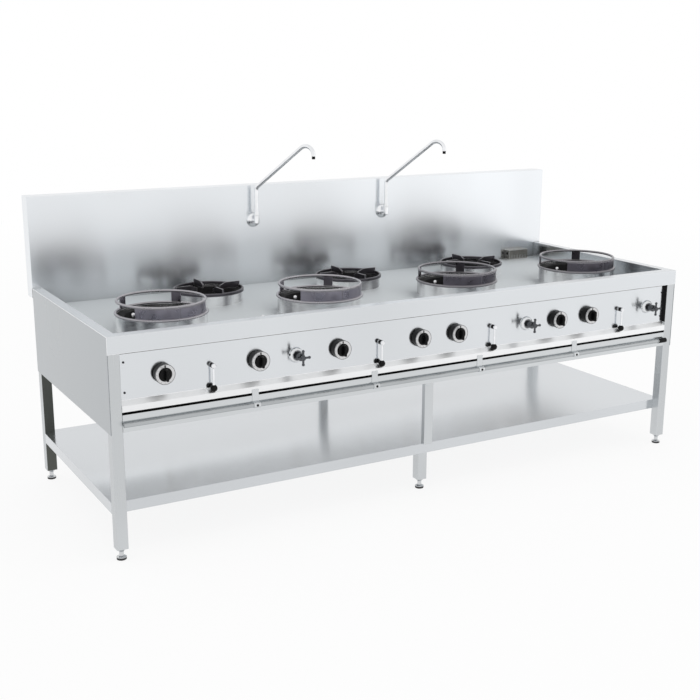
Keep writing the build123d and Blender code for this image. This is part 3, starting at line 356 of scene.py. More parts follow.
# The control panel: flatter and clearer than the worktop.
panel_steel = brushed_steel(
    "brushed_stainless_panel", "#d9dcdf", LINES_ALONG_X, LONG_CLOUDS, ACROSS_X, 0.15, 1.0
)
# The rails: drawn tube, the clearest of the brushed pieces.
rail_steel = brushed_steel(
    "brushed_stainless_rail", "#cfd2d4", LINES_ALONG_X, LONG_CLOUDS, ACROSS_X, 0.1, 1.0
)
# The shelf: mirrors the underside of the body in long soft bands.
shelf_steel = brushed_steel(
    "brushed_stainless_shelf", "#d0d3d6", LINES_ALONG_X, LONG_CLOUDS, ACROSS_X, 0.16, 1.5
)
# The side and back panels: a dull finish, and a greyer tone that is painted shade, as they face
# away from the light.
side_steel_painted_shade = brushed_steel(
    "brushed_stainless_side_painted_shade", "#adb1b4", LINES_ALONG_Y, (1000, 666.7, 1000), ACROSS_Y, 0.3, 1.5
)
# The splashback: the palest sheet, with upright streaks that are painted reflections of the pieces
# in front of it.
splash_steel = brushed_steel(
    "brushed_stainless_splashback", "#eaedf0", LINES_ALONG_X, UPRIGHT_REFLECTION_STREAKS, ACROSS_X, 0.2, 1.5
)
# The legs: square tube, dull, with its lines upright.
leg_steel = brushed_steel(
    "brushed_stainless_tube", "#cdd0d2", LINES_ALONG_Z, TUBE_CLOUDS, ACROSS_Z, 0.3, 1.5
)
# The tube rail and the drain: polished round tube.
polished_steel = brushed_steel(
    "polished_stainless", "#b4b7b9", (2, 2, 250), (200, 200, 200), ACROSS_Z, 0.16, 1.0
)
print("sheets and tubes: 8 finishes")

# %% [markdown]
# ## Spun pots
# The collars are spun on a lathe, so their fine lines run round them, and the
# wall mirrors the tray in dark upright bands. A real reflection would depend
# on much that stands outside the picture. Clouds drawn tall and narrow, with a
# darker second tone and a tighter span, give the same bands from every side.

# %% Spun pots
pot_steel = brushed_steel(
    "spun_stainless_pot",
    "#ffffff",
    lines_mm=(33.3, 33.3, 2.5),
    clouds_mm=(76.9, 76.9, 333.3),
    across=(0, 0, 1),
    roughness=0.16,
    edge_mm=1.0,
    dark="#98979a",
    span=(0.36, 0.56),
)
print("pots are spun")

# %% [markdown]
# ## The tray's floor and the panel's slope
# The floor of the tray is scrubbed with pans and ladles, so it is duller than the rim of the same
# sheet. The slope at the foot of the control panel faces upwards, and its paler tone is a painted
# highlight of the light from above. Each is one folded sheet with its neighbour, so a second slot
# would need faces to be picked out. A share that reads the height does it instead, and leads the
# colour and the gloss over.


# %% Blend by height
def blend_in(material, socket, share, value):
    """Lead a socket from what feeds it to a fixed value: (1 - share) fed + share value."""
    tree = material.node_tree
    shader = next(node for node in tree.nodes if node.type == "BSDF_PRINCIPLED")
    wanted = shader.inputs[socket]
    fed = wanted.links[0].from_socket
    kind, first, result = ("RGBA", 6, 2) if socket == "Base Color" else ("FLOAT", 2, 0)
    mixed = add_node(tree, "ShaderNodeMix", {"data_type": kind}, {0: (share, 0), first + 1: value})
    tree.links.new(fed, mixed.inputs[first])
    tree.links.new(mixed.outputs[result], wanted)


def share_below(material, axis, low, high):
    """1 below the first place along an axis, 0 above the second, and a straight line between."""
    tree = material.node_tree
    place = add_node(tree, "ShaderNodeTexCoord")
    place = add_node(tree, "ShaderNodeSeparateXYZ", inputs={0: (place, "Object")})
    return add_node(
        tree, "ShaderNodeMapRange", inputs=from_to((place, axis), (low, high), (1.0, 0.0))
    )


# The strainer stands on the tray's floor, so its foot gives the floor's height.
tray_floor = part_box("strainer")[0].z
FLOOR_ENDS = (tray_floor + 0.001, tray_floor + 0.004)
floor_share = share_below(worktop_steel, "Z", *FLOOR_ENDS)
blend_in(worktop_steel, "Roughness", floor_share, 0.5)
blend_in(worktop_steel, "Base Color", floor_share, linear("#ced2d4"))

SLOPE_RISE = 0.042
slope_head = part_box("control_panel")[0].z + SLOPE_RISE
# Painted highlight: the upward slope is painted paler than the panel.
slope_highlight_share = share_below(panel_steel, "Z", slope_head, slope_head + 0.001)
blend_in(panel_steel, "Roughness", slope_highlight_share, 0.4)
blend_in(panel_steel, "Base Color", slope_highlight_share, linear("#f6f7f8"))
print("tray floor at", round(tray_floor, 3), "slope up to", round(slope_head, 3))

# %% [markdown]
# ## The shaded rear leg
# The rear left leg stands in the corner of side panel and shelf, and the face
# that it turns to the front mirrors the dark space between them. The lamps
# can't shade one leg alone, and all legs are one piece with one slot. So three
# shares are multiplied: the face looks forward, it lies at the left end, and
# it lies at the back.

# %% Shade the rear leg
LEG_ZONE, ZONE_FADE = 0.1, 0.01
leg_low, leg_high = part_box("legs")
tree = leg_steel.node_tree
facing = add_node(tree, "ShaderNodeNewGeometry")
facing = add_node(tree, "ShaderNodeSeparateXYZ", inputs={0: (facing, "True Normal")})
shaded = add_node(
    tree, "ShaderNodeMapRange", inputs=from_to((facing, "Y"), (-0.9, -0.6), (1.0, 0.0))
)
left_end, rear_end = leg_low.x + LEG_ZONE, leg_high.y - LEG_ZONE
for share in (
    share_below(leg_steel, "X", left_end, left_end + ZONE_FADE),
    share_below(leg_steel, "Y", rear_end, rear_end - ZONE_FADE),
):
    both = {0: (shaded, 0), 1: (share, 0)}
    shaded = add_node(tree, "ShaderNodeMath", {"operation": "MULTIPLY"}, both)
blend_in(leg_steel, "Base Color", shaded, linear("#575955"))
print("shaded leg left of", round(left_end, 2), "and behind", round(rear_end, 2))

# %% [markdown]
# ## Painted edge highlights and corner shade
# The folded edges of the worktop are painted nearly white, a painted highlight of the light they
# catch. The splashback is painted darker where the burners and faucets close it in, as painted
# shade for the dark reflections there. Both could be painted by hand on an unwrapped surface. Two
# nodes find the places by themselves: a rounded normal leaves the flat one only at an edge, and
# ambient occlusion measures how much of the room a point can see.


# %% Edge highlights and painted corner shade
def lighten_edges_wear_and_highlight(material, tone, edge_mm, amount):
    """Lighten a surface where its rounded normal leaves the flat one: share = amount at 37 deg."""
    tree = material.node_tree
    flat = add_node(tree, "ShaderNodeNewGeometry")
    radius = {"Radius": edge_mm / 1000}
    rounded = add_node(tree, "ShaderNodeBevel", {"samples": EDGE_SAMPLES}, radius)
    normals = {0: (flat, "Normal"), 1: (rounded, 0)}
    agree = add_node(tree, "ShaderNodeVectorMath", {"operation": "DOT_PRODUCT"}, normals)
    edge_lightening = from_to((agree, "Value"), (0.8, 1.0), (amount, 0.0))
    blend_in(
        material, "Base Color", add_node(tree, "ShaderNodeMapRange", inputs=edge_lightening), linear(tone)
    )


def paint_corner_shade(material, tone, reach, openness):
    """Darken a surface where other pieces stand within reach, from full painted shade to none."""
    tree = material.node_tree
    openings = add_node(tree, "ShaderNodeAmbientOcclusion", {"samples": 8}, {"Distance": reach})
    closing = from_to((openings, "AO"), openness, (1.0, 0.0))
    blend_in(
        material, "Base Color", add_node(tree, "ShaderNodeMapRange", inputs=closing), linear(tone)
    )


# Painted highlight: the worktop's folded edges go nearly white. Painted shade: the splashback
# darkens where other pieces stand near it.
lighten_edges_wear_and_highlight(worktop_steel, "#ffffff", 4.0, 0.9)
paint_corner_shade(splash_steel, "#4c4a47", 0.22, (0.1, 0.65))
# Worn edges here are painted highlights, and the smoke is painted shade.
print("worktop edges are worn, the splashback is smoked")

# %% [markdown]
# ## Everything that isn't sheet
# Plated, cast and moulded pieces have no direction in their surface, only a
# fine grain. An even colour would look like plastic, so one noise, as fine as
# the real grain, moves the colour, the gloss and the height a little together.


# %% Speckled materials
SPECK_SPAN = (0.35, 0.65)
GLOSS_FACTORS = (0.8, 1.2)
MIRROR_LIMIT = 0.02


def speckled(name, tone, metallic, roughness, grain_mm, depth_mm, contrast=0.08, specular=0.5):
    """One tone with a fine noise in colour, gloss and height; grain_mm is the speck size."""
    material, tree = new_material(name)
    place = add_node(tree, "ShaderNodeTexCoord")
    specks = {"Vector": (place, "Object"), "Scale": 1000 / grain_mm, "Detail": 3.0}
    grain = add_node(tree, "ShaderNodeTexNoise", inputs=specks)
    colour = add_node(tree, "ShaderNodeValToRGB", inputs={"Fac": (grain, 0)})
    factors = (1 - contrast, 1 + contrast)
    for stop, position, factor in zip(colour.color_ramp.elements, SPECK_SPAN, factors):
        stop.position = position
        stop.color = [min(1.0, channel) for channel in scaled(tone, factor)]
    gloss = (max(MIRROR_LIMIT, roughness * GLOSS_FACTORS[0]), roughness * GLOSS_FACTORS[1])
    shine = add_node(tree, "ShaderNodeMapRange", inputs=from_to((grain, 0), NOISE_SPAN, gloss))
    relief = {"Strength": 0.5, "Distance": depth_mm / 1000, "Height": (grain, 0)}
    bump = add_node(tree, "ShaderNodeBump", inputs=relief)
    shader = add_node(
        tree,
        "ShaderNodeBsdfPrincipled",
        inputs={
            "Base Color": (colour, 0),
            "Metallic": metallic,
            "Roughness": (shine, 0),
            "Specular IOR Level": specular,
            "Normal": (bump, 0),
        },
    )
    add_node(tree, "ShaderNodeOutputMaterial", inputs={"Surface": (shader, "BSDF")})
    return material


print("speckled materials keep", MIRROR_LIMIT, "roughness at least")

# %% [markdown]
# ## Chrome plate
# Faucets, spouts, levers and taps are chrome on brass, almost a mirror. On the taps, the domed
# flange against the panel stays bright, and the body and the handle in front of it are painted
# dark, a painted reflection of dark surroundings. Two pieces of different chrome would need a cut
# in the imported part, so the share by place leads the tone over where the flange ends.

# %% Chrome plate
TAP_FLANGE = 0.012
FLANGE_FADE = 0.002
# Faucets, spouts and levers: a clear mirror with slight waves, some 18 mm wide.
chrome_plate = speckled("chrome_plate", "#eeeff1", 1.0, 0.06, 18, 0.02, 0.04)
# Taps: the same plate a little greyer, with a painted dark reflection in front.
tap_chrome_dark_reflection = speckled("tap_chrome_painted_dark_reflection", "#dfe1e3", 1.0, 0.06, 18, 0.02, 0.04)
panel_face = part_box("knob_bezels")[1].y
flange_end = panel_face - TAP_FLANGE
tap_dark_reflection_share = share_below(tap_chrome_dark_reflection, "Y", flange_end - FLANGE_FADE, flange_end)
blend_in(tap_chrome_dark_reflection, "Base Color", tap_dark_reflection_share, linear("#55575a"))
print("panel face at y", round(panel_face, 3))

# %% [markdown]
# ## Knobs, dials and rubber
# The knobs, bezels and lever balls are black phenolic, moulded and worn matt by greasy hands, and
# the sleeves are black rubber. The same dull blacks also paint shade in thin strips: at the panel's
# right end, under the fascia, behind the slit and on the end of the tube rail. A default gloss
# would put a grey veil on them, so their specular level is low. The dial rings are anodised
# aluminium with a satin finish and a black print.

# %% Knobs, dials and rubber
MATT_GLOSS = 0.15
# Phenolic: deep black with a weak, soft highlight on the edges.
black_phenolic = speckled(
    "black_phenolic_moulding", "#0a0a0b", 0.0, 0.34, 6, 0.01, 0.1, MATT_GLOSS
)
# Rubber, and painted shade in thin strips: black and dull all over.
black_rubber_and_shade = speckled("black_rubber_and_shade", "#131314", 0.0, 0.6, 4, 0.05, 0.2, MATT_GLOSS)
# Painted shade: a dead black for the strip behind the slit.
shade_black = speckled("painted_shade_black", "#060606", 0.0, 0.7, 4, 0.02, 0.1, MATT_GLOSS)
# Anodised dials: silver without clear reflections.
dial_aluminium = speckled("anodised_aluminium_dial", "#d6d6d7", 1.0, 0.38, 1.2, 0.01, 0.06)
# Dial print, and the painted shade in the screw recesses: a flat black ink.
print_and_recess_black = speckled("black_print_and_recess_shade", "#0b0b0c", 0.0, 0.4, 3, 0.005, 0.2)
print("specular level of the matt blacks:", MATT_GLOSS)

# %% [markdown]
# ## Wok rings
# Heat turns a steel ring blue-grey and violet. The front band, nearest to the flame, takes most of
# it. The two round rods are paler, partly because they take less heat and partly as a painted
# highlight along their tops. The rings of the two woks at the right are darker. Each ring is one
# piece, so the share by height leads the rods over to their own tone.

# %% Heat-tinted rings
ROD = 0.0055
ROD_FADE = 0.0005
# The left rings: warm grey with a violet cast, and a soft gloss.
ring_steel = speckled("heat_tinted_steel", "#9a96a1", 1.0, 0.3, 40, 0.002, 0.05)
# The right rings: the same steel, a good deal darker.
dark_ring_steel = speckled("dark_heat_tinted_steel", "#68646c", 1.0, 0.3, 40, 0.002, 0.05)
# Weld beads: darker than the rods, with a scaly gloss.
weld_steel = speckled("weld_bead", "#8d8a90", 0.6, 0.38, 2, 0.08, 0.15)
ring_low, ring_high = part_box("wok_ring_1")
lower_rod, upper_rod = ring_low.z + 2 * ROD, ring_high.z - 2 * ROD
# The rods' paler tones are partly heat tint and partly painted highlight.
for rod_end, fade in ((lower_rod, ROD_FADE), (upper_rod, -ROD_FADE)):
    for tinted, rod_tint_and_highlight in ((ring_steel, "#aaa8ac"), (dark_ring_steel, "#8b898d")):
        rod_tint_and_highlight_share = share_below(tinted, "Z", rod_end, rod_end + fade)
        blend_in(tinted, "Base Color", rod_tint_and_highlight_share, linear(rod_tint_and_highlight))
print("band from", round(lower_rod, 3), "to", round(upper_rod, 3))

# %% [markdown]
# ## Trivets, burners and strainer
# The trivets are dark oiled steel, and their edges are lighter, partly rubbed bright where pans
# slide and partly a painted highlight. The burners are cast iron, the pots are lined with sooted
# refractory, and the strainer is punched sheet whose edges carry a nearly white painted highlight.
# Both come from the function that lightens the worktop's edges.

# %% Fire and water
# Cast iron: rough and grey-black, almost without gloss.
cast_iron = speckled("cast_iron", "#252428", 0.2, 0.5, 2.2, 0.2, 0.18)
# Oiled steel: dark, with a sheen like a used pan.
dark_steel = speckled("oiled_dark_steel", "#57555a", 0.9, 0.36, 20, 0.01, 0.08)
# Refractory: matt, coarse and black with soot.
furnace_lining = speckled("sooted_refractory", "#161517", 0.0, 0.9, 4, 0.6, 0.3)
# Punched sheet: a dull warm grey, uneven from scale.
strainer_steel = speckled("perforated_strainer_sheet", "#8d8a84", 1.0, 0.3, 3, 0.05, 0.2)
# Light edges: partly wear and partly painted highlight on the trivets, painted highlight on the
# strainer.
lighten_edges_wear_and_highlight(dark_steel, "#dddbde", 3.0, 1.0)
lighten_edges_wear_and_highlight(strainer_steel, "#ffffff", 4.0, 1.0)
print("trivets and strainer have bright edges")

# %% [markdown]
# ## Pipes, valves and screws
# Hardly any of this shows from the front, but the back and the underside are
# looked at too. Each takes the plain finish that it has in such a range.

# %% Pipes and screws
# Machined brass: yellow, with fine tool marks.
brass = speckled("machined_brass", "#b8995c", 1.0, 0.3, 5, 0.02, 0.08)
# Painted pipe: flat grey with a slight orange peel.
pipe_paint = speckled("grey_pipe_paint", "#8b8e90", 0.0, 0.45, 5, 0.05, 0.06)
# Drawn copper: reddish and softly bright.
copper = speckled("drawn_copper", "#b87b5e", 1.0, 0.3, 8, 0.02, 0.1)
# Bright steel: turned tips that catch the light.
bright_steel = speckled("bright_steel", "#e4e4e5", 1.0, 0.2, 6, 0.03, 0.08)
# Blackened screws: dark dots on the pale panel.
screw_steel = speckled("blackened_steel", "#4a4a4d", 1.0, 0.35, 2, 0.02, 0.1)
print("pipes and screws: 5 finishes")

# %% [markdown]
# ## Levelling feet
# A foot is a chrome cone, and its lowest 9 mm is painted dark and matt, a painted dark reflection
# of the shade by the floor. The imported foot is one solid, so its material changes from that dark
# base to chrome at that height: colour, metallic and roughness go over together.

# %% Feet
DARK_BASE_TOP = 0.009
DARK_BASE_FADE = 0.0005
foot_finish, tree = new_material("chrome_foot_painted_dark_base")
# Painted dark reflection: the foot is dark and matt below this height.
dark_base_share = share_below(foot_finish, "Z", DARK_BASE_TOP, DARK_BASE_TOP + DARK_BASE_FADE)
foot_tone = add_node(
    tree,
    "ShaderNodeMix",
    {"data_type": "RGBA"},
    {0: (dark_base_share, 0), 6: linear("#cfd1d3"), 7: linear("#2a2a2c")},
)
metal = from_to((dark_base_share, 0), (0.0, 1.0), (1.0, 0.0))
gloss = from_to((dark_base_share, 0), (0.0, 1.0), (0.12, 0.5))
shader = add_node(
    tree,
    "ShaderNodeBsdfPrincipled",
    inputs={
        "Base Color": (foot_tone, 2),
        "Metallic": (add_node(tree, "ShaderNodeMapRange", inputs=metal), 0),
        "Roughness": (add_node(tree, "ShaderNodeMapRange", inputs=gloss), 0),
    },
)
add_node(tree, "ShaderNodeOutputMaterial", inputs={"Surface": (shader, "BSDF")})
# The dark base of each foot is painted reflection.
print("rubber pads up to", DARK_BASE_TOP)

# %% [markdown]
# ## Dress the pieces
# Every piece keeps its shape and takes its finish through its material slot.
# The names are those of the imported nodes, and a piece that was forgotten is
# printed at the end.


# %% Assign the finishes
def dress(material, *names):
    """Give the material to each named piece."""
    for name in names:
        slots = nodes[name].data.materials
        slots.clear()
        slots.append(material)


def numbered(stem, count):
    """stem_1 to stem_count."""
    return [f"{stem}_{i}" for i in range(1, count + 1)]


WOKS, TRIVETS, KNOBS, TAPS, SPOUTS = 4, 3, 7, 3, 2
dress(worktop_steel, "worktop")
dress(panel_steel, "control_panel")
dress(rail_steel, "cross_rails", "tube_brackets")
dress(shelf_steel, "shelf")
dress(side_steel_painted_shade, "side_panels", "back_panel")
dress(splash_steel, "backsplash")
dress(leg_steel, "legs")
dress(pot_steel, "wok_pots", "simmer_pots")
dress(polished_steel, "front_tube", "drain_pipe")
dress(chrome_plate, "faucet_bodies", *numbered("lever", WOKS), *numbered("spout", SPOUTS))
dress(tap_chrome_dark_reflection, "tap_bodies", *numbered("tap_handle", TAPS))
dress(screw_steel, "panel_screws")
dress(foot_finish, "feet")
dress(black_phenolic, "knob_bezels", *numbered("knob", KNOBS), *numbered("lever_ball", WOKS))
dress(dial_aluminium, "dial_rings")
dress(ring_steel, "wok_ring_1", "wok_ring_2")
dress(dark_ring_steel, "wok_ring_3", "wok_ring_4")
dress(cast_iron, "wok_burners", "simmer_burners")
dress(dark_steel, *numbered("trivet", TRIVETS))
dress(strainer_steel, "strainer")
dress(furnace_lining, "pot_liners")
dress(brass, "gas_valves", *numbered("valve_spindle", KNOBS))
dress(pipe_paint, "gas_manifold")
dress(copper, "water_pipe")
undressed = [name for name, piece in nodes.items() if not piece.data.materials]
print("pieces without a finish:", undressed)

# %% [markdown]
# ## How the small pieces are made
# What follows is too small or too fine for a drawing of the whole range. Each
# shape is worked out as whole arrays of points, and takes its place from the
# boxes of the pieces that it sits on, so it follows them when the part
# changes. One function turns any such shape into a mesh that rides on a body.


# %% Helpers for every shape
SHARP_EDGE = math.radians(35)


def add_piece(name, shape, material, body):
    """A mesh from (points, faces), smooth but for its sharp edges, that moves with a body."""
    points, faces = shape
    mesh = bpy.data.meshes.new(name)
    mesh.from_pydata(points.tolist(), [], faces)
    mesh.shade_smooth()
    mesh.set_sharp_from_angle(angle=SHARP_EDGE)
    mesh.materials.append(material)
    piece = bpy.data.objects.new(name, mesh)
    bpy.context.scene.collection.objects.link(piece)
    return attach(piece, body)


def joined(shapes):
    """Several (points, faces) as one: a shape's corner numbers go up by the points before it."""
    starts = np.cumsum([0] + [len(points) for points, _ in shapes])
    faces = []
    for start, (_, some) in zip(starts, shapes):
        faces.extend([int(start) + corner for corner in face] for face in some)
    return np.concatenate([points for points, _ in shapes]), faces


def grid_faces(rows, columns, closed):
    """Four-sided faces over a grid of points, row by row, whose columns may close on themselves."""
    i, j = np.meshgrid(
        np.arange(rows - 1), np.arange(columns if closed else columns - 1), indexing="ij"
    )
    j_next = (j + 1) % columns
    here, below = i * columns, (i + 1) * columns
    faces = np.stack((here + j, here + j_next, below + j_next, below + j), -1)
    return faces.reshape(-1, 4).tolist()


print("a grid of 2 x 3 points has", len(grid_faces(2, 3, False)), "faces")

# %% [markdown]
# ## Printed dials
# Each dial ring has a bold mark at the top, where the gas is off, a fine mark
# every 30 degrees of the knob's travel, and a thin dark line round both edges.
# A pattern in the material would need the centre of every dial. Flat patches a
# tenth of a millimetre in front of the ring are simpler and stay crisp.

# %% Print the dials
MARK_LIFT = 0.0001
DIAL_WIDTH = 0.013
KNOB_TRAVEL, MARK_STEP = 210, 30
BOLD_MARK, FINE_MARK = 5.5, 0.8
MARK_MARGIN, FINE_LENGTH = 0.003, 0.005
OUTER_LINE, INNER_LINE = 0.0016, 0.0008
MARK_POINTS, CIRCLE_POINTS = 12, 72


def middle(node):
    """The middle of a node's box."""
    low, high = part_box(node)
    return (low + high) / 2


def sector(centre, y, radii, half_turn, towards=0.0):
    """A flat patch facing the cook: x = r sin t, z = r cos t, with t clockwise from the top.

    It spans half_turn degrees to both sides of towards, and closes on itself at 180.
    """
    closed = half_turn == 180
    ends = towards - half_turn, towards + half_turn
    angles = np.linspace(*ends, CIRCLE_POINTS if closed else MARK_POINTS, endpoint=not closed)
    r, t = np.meshgrid(radii, np.radians(angles), indexing="ij")
    points = np.stack((centre.x + r * np.sin(t), np.full(r.shape, y), centre.z + r * np.cos(t)), -1)
    return points.reshape(-1, 3), grid_faces(2, len(angles), closed)


dial_low, dial_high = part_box("dial_rings")
dial_outer = (dial_high.z - dial_low.z) / 2
dial_inner = dial_outer - DIAL_WIDTH
print_y = dial_low.y - MARK_LIFT
mark_end = dial_outer - MARK_MARGIN
bold = (dial_inner + 0.001, mark_end)
fine = (mark_end - FINE_LENGTH, mark_end)
outer_line = (dial_outer - OUTER_LINE, dial_outer)
inner_line = (dial_inner, dial_inner + INNER_LINE)
marks = []
for knob in numbered("knob", KNOBS):
    centre = middle(knob)
    marks.append(sector(centre, print_y, bold, BOLD_MARK))
    for turned_by in range(MARK_STEP, KNOB_TRAVEL + 1, MARK_STEP):
        marks.append(sector(centre, print_y, fine, FINE_MARK, -turned_by))
    for line in (outer_line, inner_line):
        marks.append(sector(centre, print_y, line, 180))
add_piece("dial_marks", joined(marks), print_and_recess_black, "root")
print("dials printed:", KNOBS, "marks:", len(marks))

# %% [markdown]
# ## Screw recesses
# The four panel screws have a cross recess. Cut into the imported heads it would cost a boolean for
# something a pixel wide, so two dark bars crossed on each head paint the shade inside it.

# %% Screw recesses
SCREW_HEAD = 0.0045
RECESS_HALF, RECESS_WIDTH = 0.0022, 0.0004


def brick(low, high):
    """A square-edged block between two corners."""
    corners = np.array(
        [(x, y, z) for x in (low[0], high[0]) for y in (low[1], high[1]) for z in (low[2], high[2])]
    )
    faces = [(0, 1, 3, 2), (4, 6, 7, 5), (0, 4, 5, 1), (2, 3, 7, 6), (0, 2, 6, 4), (1, 5, 7, 3)]
    return corners, faces


screw_low, screw_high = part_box("panel_screws")
front, back = screw_low.y - MARK_LIFT, screw_low.y + MARK_LIFT
recess_shade_bars = []
for x in (screw_low.x + SCREW_HEAD, screw_high.x - SCREW_HEAD):
    for z in (screw_low.z + SCREW_HEAD, screw_high.z - SCREW_HEAD):
        for across, up in ((RECESS_HALF, RECESS_WIDTH), (RECESS_WIDTH, RECESS_HALF)):
            recess_shade_bars.append(brick((x - across, front, z - up), (x + across, back, z + up)))
add_piece("screw_recess_shade", joined(recess_shade_bars), print_and_recess_black, "root")
print("recess bars:", len(recess_shade_bars))

# %% [markdown]
# ## Strap rivets
# A black rivet goes through each strap where it holds the tube rail. A rivet
# is a turned shape, so its outline is carried round an axis. The four straps
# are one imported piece, and the gaps between their points along X tell where
# each begins and ends.

# %% Strap rivets
STRAP_LOOP = 0.011
STRAP_GAP = 0.1
RIVET = [(0.0052, 0.0), (0.0052, 0.0006), (0.0045, 0.0016), (0.0028, 0.0023), (0.0008, 0.0025)]


def points_of(node):
    """The points of a node's mesh as rows of x, y and z."""
    vertices = nodes[node].data.vertices
    flat = np.empty(3 * len(vertices), np.float32)
    vertices.foreach_get("co", flat)
    return flat.reshape(-1, 3).astype(float)


def turned(profile, centre, along, sides):
    """p(r, h, t) = centre + h n + r (a cos t + b sin t), with the profile's (r, h) and end caps."""
    n = Vector(along).normalized()
    a = n.orthogonal().normalized()
    b = n.cross(a)
    angles = np.linspace(0, 2 * math.pi, sides, endpoint=False)
    circle = np.outer(np.cos(angles), a) + np.outer(np.sin(angles), b)
    r, h = np.array(profile, float).T[:, :, None, None]
    points = (np.array(centre) + h * np.array(n) + r * circle).reshape(-1, 3)
    last = (len(profile) - 1) * sides
    caps = [list(reversed(range(sides))), list(range(last, last + sides))]
    return points, grid_faces(len(profile), sides, True) + caps


strap_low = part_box("tube_brackets")[0]
strap_x = np.sort(points_of("tube_brackets")[:, 0])
cuts = np.flatnonzero(np.diff(strap_x) > STRAP_GAP)
strap_starts = strap_x[np.concatenate(([0], cuts + 1))]
strap_ends = strap_x[np.concatenate((cuts, [len(strap_x) - 1]))]
rivets = [
    turned(RIVET, (x, strap_low.y, strap_low.z + STRAP_LOOP), (0, -1, 0), 20)
    for x in (strap_starts + strap_ends) / 2
]
add_piece("strap_rivets", joined(rivets), black_rubber_and_shade, "root")
print("rivets:", len(rivets))

# %% [markdown]
# ## Spout tips
# A black sleeve holds the strainer at the end of each spout. The end hangs
# straight down at the corner of the spout's box that is nearest to the cook,
# and the lowest point in that corner is where the sleeve starts. Its outline
# turns inwards at the mouth, so one looks into it.

# %% Spout tips
SPOUT_RADIUS = 0.0095
SLEEVE = [
    (0.0076, -0.0115), (0.0076, 0.0006), (0.0068, 0.0014), (0.0048, 0.0014), (0.0048, -0.003)
]
for spout in numbered("spout", SPOUTS):
    low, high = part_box(spout)
    points = points_of(spout)
    nose = points[points[:, 0] > high.x - 2 * SPOUT_RADIUS]
    tip = (high.x - SPOUT_RADIUS, low.y + SPOUT_RADIUS, nose[:, 2].min())
    add_piece(f"{spout}_tip", turned(SLEEVE, tip, (0, 0, -1), 32), black_rubber_and_shade, spout)
print("spout tips:", SPOUTS)

# %% [markdown]
# ## Weld beads
# The front band of every wok ring is welded to both rods, and one upright seam
# closes it. A weld is a round bead carried along a path. A bump can't stand
# proud of the steel and catch the light as these do, so they are real shapes,
# two along the arcs of the band and one upright.

# %% Weld beads
BAND_HALF = math.radians(109.2 / 2)
BAND_SHIFT = 0.0035
BEAD_RADIUS, SEAM_RADIUS = 0.0016, 0.0011
BEAD_OUT, BEAD_SINK = 0.0015, 0.001
SEAM_TURN = 0.06
BEAD_SIDES = 10


def swept(path, radius, side):
    """A round bead: p(s, t) = c(s) + radius (a cos t + b sin t), a and b square to the path."""
    tangent = np.gradient(path, axis=0)
    tangent /= np.linalg.norm(tangent, axis=1)[:, None]
    b = np.cross(tangent, np.array(side, float))
    b /= np.linalg.norm(b, axis=1)[:, None]
    a = np.cross(b, tangent)
    t = np.linspace(0, 2 * math.pi, BEAD_SIDES, endpoint=False)[None, :, None]
    points = path[:, None] + radius * (np.cos(t) * a[:, None] + np.sin(t) * b[:, None])
    last = (len(path) - 1) * BEAD_SIDES
    caps = [list(reversed(range(BEAD_SIDES))), list(range(last, last + BEAD_SIDES))]
    return points.reshape(-1, 3), grid_faces(len(path), BEAD_SIDES, True) + caps


arc = np.linspace(-math.pi / 2 - BAND_HALF, -math.pi / 2 + BAND_HALF, 48)
for ring in numbered("wok_ring", WOKS):
    low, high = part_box(ring)
    centre = middle(ring)
    band = (high.x - low.x) / 2 - ROD - BAND_SHIFT + BEAD_OUT
    beads = []
    for z in (low.z + 2 * ROD - BEAD_SINK, high.z - 2 * ROD + BEAD_SINK):
        x, y = centre.x + band * np.cos(arc), centre.y + band * np.sin(arc)
        beads.append(swept(np.column_stack((x, y, np.full(arc.shape, z))), BEAD_RADIUS, (0, 0, 1)))
    z = np.linspace(low.z + 2 * ROD, high.z - 2 * ROD, 8)
    x = np.full(z.shape, centre.x + band * math.sin(SEAM_TURN))
    y = np.full(z.shape, centre.y - band * math.cos(SEAM_TURN))
    beads.append(swept(np.column_stack((x, y, z)), SEAM_RADIUS, (1, 0, 0)))
    add_piece(f"{ring}_welds", joined(beads), weld_steel, ring)
print("beads on each ring:", len(beads))

# %% [markdown]
# ## Pilots
# A bright tip closes the pilot tube inside each wok pot, and glints through
# the gap in the ring. The tubes are packed with the burners, so their top
# gives the height, and the ring's middle and the tube's bearing give the place.

# %% Pilots
PILOT_TURN = math.radians(178)
PILOT_REACH = 0.117
PILOT_TIP = [(0.0075, -0.012), (0.0075, 0.001), (0.006, 0.004), (0.003, 0.006), (0.0006, 0.0065)]
pilot_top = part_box("wok_burners")[1].z
pilot_way = PILOT_REACH * Vector((math.cos(PILOT_TURN), math.sin(PILOT_TURN)))
tips = []
for ring in numbered("wok_ring", WOKS):
    pilot = middle(ring).xy + pilot_way
    tips.append(turned(PILOT_TIP, (*pilot, pilot_top), (0, 0, 1), 20))
add_piece("pilot_tips", joined(tips), bright_steel, "root")
print("pilots:", len(tips), "at height", round(pilot_top, 3))

# %% [markdown]
# ## Painted shade at the panel's end and under the fascia
# A black strip at the control panel's right end paints the shade on the inner face of the right
# leg. A thin dark line paints the shadow in the joint under the fascia's edge. A dark line in a
# material would slip when the panel's size changes. Thin blocks that take their corners from the
# panel's box stay in the joint.

